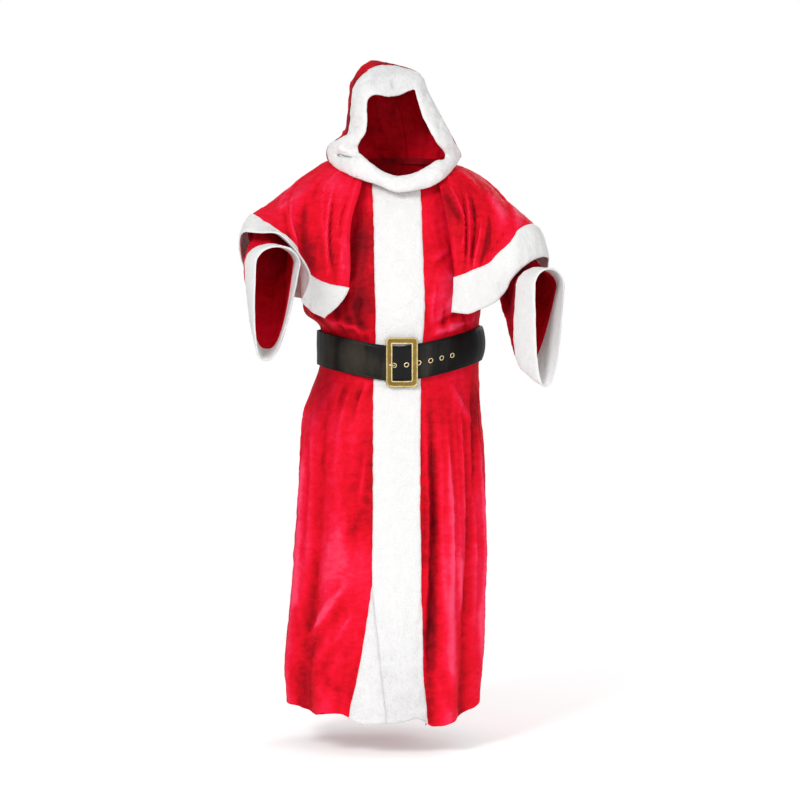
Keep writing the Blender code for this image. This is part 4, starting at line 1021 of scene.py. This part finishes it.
def make_robe():
    right, free, left = (angle_at(seam_x(column, ROWS), ROWS) for column in (RIGHT_SEAM, FREE_EDGE, LEFT_SEAM))
    front, back = SIDE_SEAM - armhole(ROWS), SIDE_SEAM + armhole(ROWS)
    for node, start, end, width, spacing in (("robe_front_right", -front, right, 0.28, 0.0052),
                                             ("robe_front_left", left, front, 0.28, 0.0052),
                                             ("robe_back", back, 360 - back, 0.75, 0.0105)):
        us, vs = across_robe(start, end, width, spacing)
        under = TUCK * smooth(1 - (right[:, None] - us) / TUCK_START) if node == "robe_front_right" else 0.0
        velvet_piece(node, body, us, vs, robe_tone_and_painted_light(us, vs), dip=under)

    us, vs = across_robe(free, left, 0.125, 0.006)
    height = body(us, vs)[..., 2]
    # painted shade on the upper band: near black behind the belt, so the eyelets show dark, a little all over, and more
    # towards the hem
    shade = -4.5 * bell(height - belt_middle(us), 0.028) - 0.2 - 1.2 * smooth((-1.0 - height) / 0.45)
    plush_piece("front_band_left", body, us, vs, shade=shade)
    hidden = np.minimum(seam_x(RIGHT_SEAM, ROWS) + UNDER_BAND_WIDTH, seam_x(LEFT_SEAM, ROWS) - UNDER_BAND_MARGIN)
    us, vs = across_robe(right, angle_at(hidden, ROWS), 0.115, 0.006)
    rise = PLUSH_RISE - PLUSH - LAYER_GAP
    # the under band is painted in shade, as the upper band overlaps it
    plush_piece("front_band_right", body, us, vs, rise=rise, thickness=UNDER_PLUSH, shade=-0.9)


# ---------------------------------------------------------------- sleeves, capelet and hood
def make_sleeves():
    near = np.array([0, 0.012, 0.03, 0.06])
    for side, flip, shade in (("right", -1, 0.3), ("left", 1, 1.1)):
        surface = sleeve(side)
        places = np.concatenate([near, np.linspace(0.1, SLEEVE_CUFF - 0.06, 72), SLEEVE_CUFF - near[2::-1]])
        us, vs = np.meshgrid(np.linspace(0, 360, 97)[:-1], places)
        creases = np.minimum(fold_relief(SLEEVE_FOLDS[side], us, vs, 360), 0.001 + 0.006 * smooth((vs - 2.2) / 1.2))
        # painted highlight and shade on the folds; each sleeve's outside painted darker by its shade, the left more,
        # and its inside a little (inside=-0.1)
        velvet_piece("sleeve_" + side, surface, us, vs, turned(creases) - shade, closed=True, seams="tb",
                     uneven=0.0022, size=0.06, flip=flip, creases=creases, inside=-0.1, flange=0.0)
        places = SLEEVE_CUFF + (SLEEVE_END - SLEEVE_CUFF) * marks(0.075, 0.005)
        us, vs = np.meshgrid(np.linspace(0, 360, 121)[:-1], places)
        plush_piece("sleeve_cuff_" + side, surface, us, vs, closed=True, sides="tb", flip=flip)


def make_capelet():
    for side, first, final in (("right", 0, CENTRE_BACK), ("left", CENTRE_BACK, len(RIBS) - 1)):
        ribs = first + (final - first) * marks(0.62, 0.005)
        us, vs = np.meshgrid(ribs, CAPE_EDGE * marks(0.26, 0.005))
        creases = np.maximum(fold_relief(CAPE_FOLDS, us, vs), -0.0012 - 0.006 * smooth((vs - 1.1) / 0.9))
        # painted highlight on the ridges, painted shade in the troughs, and the patches
        tone_and_painted_light = np.clip(creases / CAPE_RELIEF, -1.2, 1.4) + patch_tone_and_painted_light(CAPE_PATCHES, us, vs)
        velvet_piece("capelet_" + side, cape, us, vs, tone_and_painted_light, RIB_STEP, size=0.07, seams="lrt", creases=creases)
        us, vs = np.meshgrid(ribs, CAPE_EDGE + (CAPE_HEM - CAPE_EDGE) * marks(0.08, 0.005))
        plush_piece("capelet_band_" + side, cape, us, vs, RIB_STEP)


def hood_tuck(place):
    """How far the hood's front edge lies in behind the band: more at the lobe and on the left."""
    return 0.0025 + 0.005 * (1 - smooth((place - 0.9) / 0.8)) + 0.005 * smooth((place - HOOD_CROWN - 0.6) / 0.8)


def make_hood():
    for side, first, final in (("right", 0, HOOD_CROWN), ("left", HOOD_CROWN, HOOD_END)):
        us, vs = np.meshgrid(first + (final - first) * marks(0.3, 0.006), marks(0.3, 0.006))
        folds = fold_relief(HOOD_FOLDS, us, vs)
        # painted highlight and shade on the folds, painted shade where the hood turns in behind the band, less of it on
        # its peak, and a little painted shade all over
        tone_and_painted_light = turned(folds) - 1.1 * (1 - smooth(vs / 0.25)) * (1 - 0.6 * bell(us - 5.2, 0.7)) - 0.3
        velvet_piece("hood_" + side, hood, us, vs, tone_and_painted_light, RIB_STEP, uneven=0.0018, size=0.06, seams="lrb",
                     creases=folds - hood_tuck(us) * (1 - smooth(vs / 0.2)))
    rows = len(FACE_BAND)
    us, vs = np.meshgrid(np.linspace(0, rows, rows * 26 + 1)[:-1], marks(0.078, 0.0036))
    # the face band's pile is painted lighter down the left side and in painted shade over the crown
    plush_piece("face_band", face_band, us, vs, RIB_STEP, rise=0.0, thickness=FACE_BAND_DEPTH, closed=True, sides="tb",
                radius=0.012, creases=fold_relief(FACE_FOLDS, us, vs, rows),
                shade=0.5 * bell(us - 3.5, 1.5) - 1.3 * bell((us + rows / 2) % rows - rows / 2, 1.4))


def make_neck_seam():
    """The hood's seam allowance, pressed down inside the neck."""
    ribs = np.linspace(HOOD_NECK_RIBS[0] + 0.1, HOOD_NECK_RIBS[1] - 0.1, 160)
    edge = cape(ribs, np.zeros(ribs.shape))
    inward = -unit(edge * np.array([1, 1, 0]) + np.array([0, 0.01, 0]))
    profile = [(0.0030, 0.006), (0.0040, 0.003), (0.0050, 0.000), (0.0056, -0.005), (0.0058, -0.010)]
    outer = np.stack([edge + inward * near + np.array([0, 0, up]) for near, up in profile])
    # painted shade: it lies in shadow inside the neck
    tone_and_painted_light = np.full(outer.shape[:2], -1.3)
    shell("neck_seam_cloth", outer, outer + inward * 0.0012, "velvet", None, tone_and_painted_light, 60, inside=-1.3)


# ---------------------------------------------------------------- belt and buckle
def belt_point(angle, height, out):
    """A point of the belt by angle and height from its middle line: its outer face is at out 0."""
    angle, height, out = np.broadcast_arrays(*(np.asarray(value, float) for value in (angle, height, out)))
    ring = waist_ring(angle)
    normal = unit(np.cross(waist_ring(angle + 0.5) - waist_ring(angle - 0.5), np.array([0, 0, 1.0])))
    front = sine_cosine(angle)[1] > 0
    stand = BELT_REST + front * BELT_OVER_BAND * (1 - smooth((np.abs(ring[..., 0]) - BAND_HALF_REACH) / BAND_STEP_DOWN))
    hip = smooth((ring[..., 0] - HIP_START) / HIP_REACH)
    bow = hip * (BELT_OFF_HIP - BELT_BOW * (2 * height / BELT_HEIGHT) ** 2)
    point = ring + normal * (stand + BELT_THICKNESS + bow + out)[..., None]
    point[..., 2] += height + belt_lift(angle)
    return point


def belt_angle(distance):
    """The angle at a distance along the belt from the buckle's centre."""
    distance = np.asarray(distance, float)
    x = BUCKLE_CENTRE + WAIST_RADIUS * np.sin(distance / WAIST_RADIUS)
    return angle_at(x / MM, np.full(distance.shape, float(WAIST)))


def belt_surface(along, up, out=0.0):
    return belt_point(belt_angle(along), up, out)


def belt_relief(height):
    """Rounded edges and a pressed groove along each, from the height on the belt."""
    inside = BELT_HEIGHT / 2 - np.abs(height)
    rounding = -BELT_THICKNESS / 2 * (1 - np.sqrt(1 - (1 - np.clip(inside / BELT_ROUNDING, 0, 1)) ** 2))
    return rounding - BELT_GROOVE * bell(inside - GROOVE_PLACE, GROOVE_WIDTH)


EYELETS = [EYELET_FIRST + EYELET_SPACING * index for index in range(EYELET_COUNT)]


def make_belt():
    angles = belt_angle(-BUCKLE_WIDTH / 2 + BUCKLE_BAR / 2) + np.linspace(BELT_END_GAP, 360 - BELT_END_GAP, 300)
    half = BELT_HEIGHT / 2
    near = np.array([0, 0.0003, 0.0008, 0.0014, 0.002, 0.003, 0.0038, 0.0044, 0.0048, 0.0052, 0.0058, 0.007])
    heights = np.concatenate([-half + near, np.linspace(-half + 0.012, half - 0.012, 10), half - near[::-1]])
    us, vs = np.meshgrid(angles, heights)
    relief = belt_relief(vs)
    sag = lumps(belt_point(us, vs, 0), 0.16, 0.0011, 4)
    top = belt_point(us, vs, relief + sag)
    low = belt_point(us, vs, -BELT_THICKNESS - np.minimum(relief + BELT_GROOVE, 0) * 0.8)
    # painted reflections, lighter brown, on the right half and by the middle eyelets; painted darker on the left,
    # painted black shade in the buckle's window and painted shade along both edges
    x, ahead = top[..., 0], sine_cosine(us)[1] > 0
    dark = -0.7 * smooth((x + 0.02) / 0.03) - 0.8 * smooth((x + 0.018) / 0.01) * smooth((0.03 - x) / 0.01)
    painted_highlight = 0.8 * bell(x + 0.12, 0.06) * bell(vs, 0.03) + 0.5 * bell(x - 0.065, 0.02)
    tone_and_painted_light = (1.5 * dark + painted_highlight) * ahead - 0.6 * bell(half - np.abs(vs), 0.004)
    belt = shell("belt_strap", top, low, "leather", "belt", tone_and_painted_light, 50)
    for distance in EYELETS:
        centre = Vector(belt_surface(distance, -EYELET_DOWN))
        facing = (Vector(belt_surface(distance, -EYELET_DOWN, 0.01)) - centre).normalized()
        bpy.ops.mesh.primitive_cylinder_add(vertices=24, radius=EYELET_HOLE, depth=DRILL_LENGTH, location=centre,
                                            rotation=facing.to_track_quat("Z", "Y").to_euler())
        drill = bpy.context.object
        cut = belt.modifiers.new("hole", "BOOLEAN")
        cut.object, cut.operation = drill, "DIFFERENCE"
        with bpy.context.temp_override(object=belt, active_object=belt, selected_objects=[belt]):
            bpy.ops.object.modifier_apply(modifier=cut.name)
        bpy.data.objects.remove(drill)


# An eyelet from its flange over the lip and in through the belt: radius, height over the belt and how light it is, worn
# pale on the lip and in painted shade down the barrel
EYELET_PROFILE = [
    (0.0064, 0.0001, 0.4), (0.0065, 0.0006, 0.9), (0.0062, 0.0011, 1.3), (0.0056, 0.0014, 1.3), (0.0049, 0.0014, 1.1),
    (0.0042, 0.0010, -0.1), (0.0036, 0.0002, -0.8), (0.0032, -0.0012, -1), (0.0030, -0.0042, -1),
]
EYELET_WALL = 0.0003         # thickness of its metal
EYELET_BORE = 0.0027         # its smallest radius inside


def make_eyelets():
    """Rolled rings: an outer flange, a rounded lip and a barrel that goes in through the belt."""
    turns = np.linspace(0, math.tau, 41)[:-1]

    def ring(centre, facing, radius, out):
        return belt_surface(centre + radius * np.cos(turns), radius * np.sin(turns) - EYELET_DOWN) + facing * out

    for number, centre in enumerate(EYELETS, 1):
        facing = unit(belt_surface(centre, -EYELET_DOWN, 0.01) - belt_surface(centre, -EYELET_DOWN))
        outer = np.stack([ring(centre, facing, radius, out) for radius, out, _ in EYELET_PROFILE])
        inner = np.stack([ring(centre, facing, max(radius - EYELET_WALL, EYELET_BORE), out - EYELET_WALL)
                          for radius, out, _ in EYELET_PROFILE])
        tone_and_painted_light = np.repeat([[worn] for _, _, worn in EYELET_PROFILE], len(turns), 1)
        shell("eyelet_%d_ring" % number, outer, inner, "brass", "eyelet_%d" % number, tone_and_painted_light, 60, closed=True)


def rounded_frame(share, across):
    """A rectangle with rounded corners, 0 at the window's edge and 1 at the outside; share goes once round."""
    inset = BUCKLE_BAR * (1 - across)
    reach = (BUCKLE_WIDTH / 2 - inset, BUCKLE_HEIGHT / 2 - inset)
    radius = WINDOW_CORNER + (OUTER_CORNER - WINDOW_CORNER) * across
    side, part = np.divmod(share * 4, 1)
    straight = np.clip((part - CORNER_SHARE) / (1 - 2 * CORNER_SHARE), 0, 1) * 2 - 1
    turn = np.clip((part - 1) / CORNER_SHARE + 1, 0, 1) - np.clip(1 - part / CORNER_SHARE, 0, 1)
    sine, cosine = np.sin(turn * math.pi / 4), np.cos(turn * math.pi / 4)
    points = np.zeros((len(share), 2))
    ways = np.array([(1, 0), (0, 1), (-1, 0), (0, -1)])
    for index, out in enumerate(ways):
        ahead = (reach[1 - index % 2] - radius) * straight + sine * radius
        away = reach[index % 2] + (cosine - 1) * radius
        made = out * away[:, None] + ways[(index + 1) % 4] * ahead[:, None]
        points = np.where((side == index)[:, None], made, points)
    return points


# Across the buckle's bar from the window out, between two raised rounded edges: share of its width, share of its
# height over the belt's face and how light it is, worn pale on the raised edges, brown between them, painted shade at
# its foot
BAR_PROFILE = [
    (0.00, 0.0, -0.5), (0.00, 0.55, 0.0), (0.03, 0.86, 0.7), (0.09, 1.0, 1.0), (0.16, 1.0, 0.8), (0.22, 0.90, 0.0),
    (0.30, 0.84, -0.5), (0.42, 0.82, -0.6), (0.58, 0.82, -0.6), (0.70, 0.84, -0.5), (0.78, 0.90, 0.0), (0.84, 1.0, 0.6),
    (0.91, 1.0, 0.8), (0.97, 0.84, 0.4), (1.00, 0.50, 0.0), (1.00, 0.0, -0.5),
]
BUCKLE_BASE = SEAM_GAP + EYELET_DEPTH + SEAM_GAP         # from the belt's face, over an eyelet, to the buckle's back


def make_buckle():
    shares = np.linspace(0, 1, 241)[:-1]
    top, bottom = [], []
    for across, height, _ in BAR_PROFILE:
        x, z = rounded_frame(shares, across).T
        base = belt_surface(x, z - belt_lift(belt_angle(x)))
        top.append(base + np.array([0, -1, 0]) * (BUCKLE_BASE + BUCKLE_DEPTH * height))
        bottom.append(base + np.array([0, -1, 0]) * BUCKLE_BASE)
    top, bottom = np.stack(top), np.stack(bottom)
    bottom[0] += (bottom[1] - bottom[2]) * 0.001         # a hair off the top's first row, which lies in its place
    uneven = lumps(top, 0.014, 0.0002, 3)
    top[2:-2, :, 1] += uneven[2:-2]
    tone_and_painted_light = np.repeat([[worn] for _, _, worn in BAR_PROFILE], len(shares), 1)
    # its back, against the belt, is painted in shade (inside=-0.8)
    shell("buckle_frame_bar", top, bottom, "brass", "buckle_frame", tone_and_painted_light, 55, closed=True, inside=-0.8)


def make_prong():
    """A stud that rises from the bar, bends over its edge and dips into the eyelet."""
    stations = np.linspace(0, len(PRONG) - 1, 26)
    along, half, over = np.moveaxis(spline(PRONG, stations), -1, 0)
    turns = np.linspace(0, math.tau, 21)[:-1]
    ends = 0.15 + 0.85 * np.sqrt(1 - np.clip(1 - np.arange(len(stations)) / 4, 0, 1) ** 2)
    lift = (BUCKLE_BASE + BUCKLE_DEPTH + SEAM_GAP) * np.clip(over, 0.1, 1) + PRONG_DEPTH / 2
    places = np.repeat((EYELET_FIRST + along * MM)[:, None], len(turns), 1)
    rings = belt_surface(places, (half * MM * ends)[:, None] * np.cos(turns) - EYELET_DOWN)
    rings[..., 1] -= lift[:, None] + (PRONG_DEPTH / 2 * ends)[:, None] * np.sin(turns)
    index = ringed(np.arange(places.size).reshape(places.shape), True)
    faces = quads(index).reshape(-1, 4).tolist() + [index[0, -2::-1].tolist(), index[-1, :-1].tolist()]
    points = rings.reshape(-1, 3)
    first = points[faces[0]]
    if np.dot(np.cross(first[1] - first[0], first[3] - first[0]), first[0] - rings[0].mean(0)) < 0:
        faces = [face[::-1] for face in faces]
    new_piece("buckle_prong_tongue", points, faces, "brass", "buckle_prong", 40, np.full(len(points), 0.9))


# ---------------------------------------------------------------- floor, light and camera
FLOOR_Z = -1.532             # boots would stand on it
FLOOR_REACH = 14.0
WHITE = (1, 1, 1, 1)
# Name, place, what it points at, size and power
LIGHTS = [
    ("key", (-2.0, -3.4, 1.6), (0, 0, -0.6), 1.3, 112), ("front", (0.6, -4.6, -0.9), (0, 0, -0.7), 2.4, 34),
    ("fill", (2.9, -2.9, 0.3), (0, 0, -0.6), 1.8, 44), ("back", (1.9, 3.4, 1.5), (0, 0, -0.6), 1.6, 45),
]
CAMERA_PLACE = (0, -6, -0.38)
CAMERA_AIM = (0, 0, -0.623)
FRAME_WIDTH = 2.12           # metres that the frame shows across at the object
SENSOR = 36


def link_new(name, data):
    made = bpy.data.objects.new(name, data)
    bpy.context.scene.collection.objects.link(made)
    return made


def point_at(made, place, aim):
    made.location = place
    made.rotation_euler = (Vector(aim) - Vector(place)).to_track_quat("-Z", "Y").to_euler()


def add_floor():
    """A pale floor that fades into the white surround away from the object."""
    mesh = bpy.data.meshes.new("floor")
    corners = ((-1, -1), (1, -1), (1, 1), (-1, 1))
    mesh.from_pydata([(x * FLOOR_REACH, y * FLOOR_REACH, FLOOR_Z) for x, y in corners], [], [(0, 1, 2, 3)])
    tree, shader = new_material("floor")
    dress(tree, shader, {"Base Color": (0.93, 0.93, 0.93, 1), "Roughness": 0.9, "Specular IOR Level": 0.1,
                         "Emission Color": WHITE, "Emission Strength": 0.3})
    away = add(tree, "VectorMath", operation="LENGTH", vector=here(tree)).outputs["Value"]
    mix_shaders(tree, weighed(tree, -1.75, (away, 1.0), clamp=True), shader.outputs["BSDF"],
                add(tree, "BsdfTransparent").outputs["BSDF"], "Material Output")
    mesh.materials.append(MATERIAL["floor"])
    link_new("floor", mesh)


def add_world():
    """White to look at, and a softer even light on the object."""
    world = bpy.data.worlds.new("studio")
    world.use_nodes = True
    tree = world.node_tree
    light = tree.nodes["Background"]
    dress(tree, light, {"Color": WHITE, "Strength": 0.5})
    seen = add(tree, "Background", color=WHITE, strength=1.0)
    mix_shaders(tree, add(tree, "LightPath").outputs["Is Camera Ray"], light.outputs["Background"],
                seen.outputs["Background"], "World Output")
    bpy.context.scene.world = world


def add_light(name, place, aim, size, power):
    data = bpy.data.lights.new(name, "AREA")
    data.shape, data.size, data.energy = "SQUARE", size, power
    point_at(link_new(name, data), place, aim)


def add_camera():
    data = bpy.data.cameras.new("camera")
    data.sensor_width = SENSOR
    data.lens = SENSOR * -CAMERA_PLACE[1] / FRAME_WIDTH
    camera = link_new("camera", data)
    point_at(camera, CAMERA_PLACE, CAMERA_AIM)
    bpy.context.scene.camera = camera


for make in (make_velvet, make_plush, make_leather, make_brass, make_robe, make_sleeves, make_capelet, make_hood,
             make_neck_seam, make_belt, make_eyelets, make_buckle, make_prong, add_floor):
    make()
for row in LIGHTS:
    add_light(*row)
add_world()
bpy.context.scene.view_settings.view_transform = "Standard"
add_camera()

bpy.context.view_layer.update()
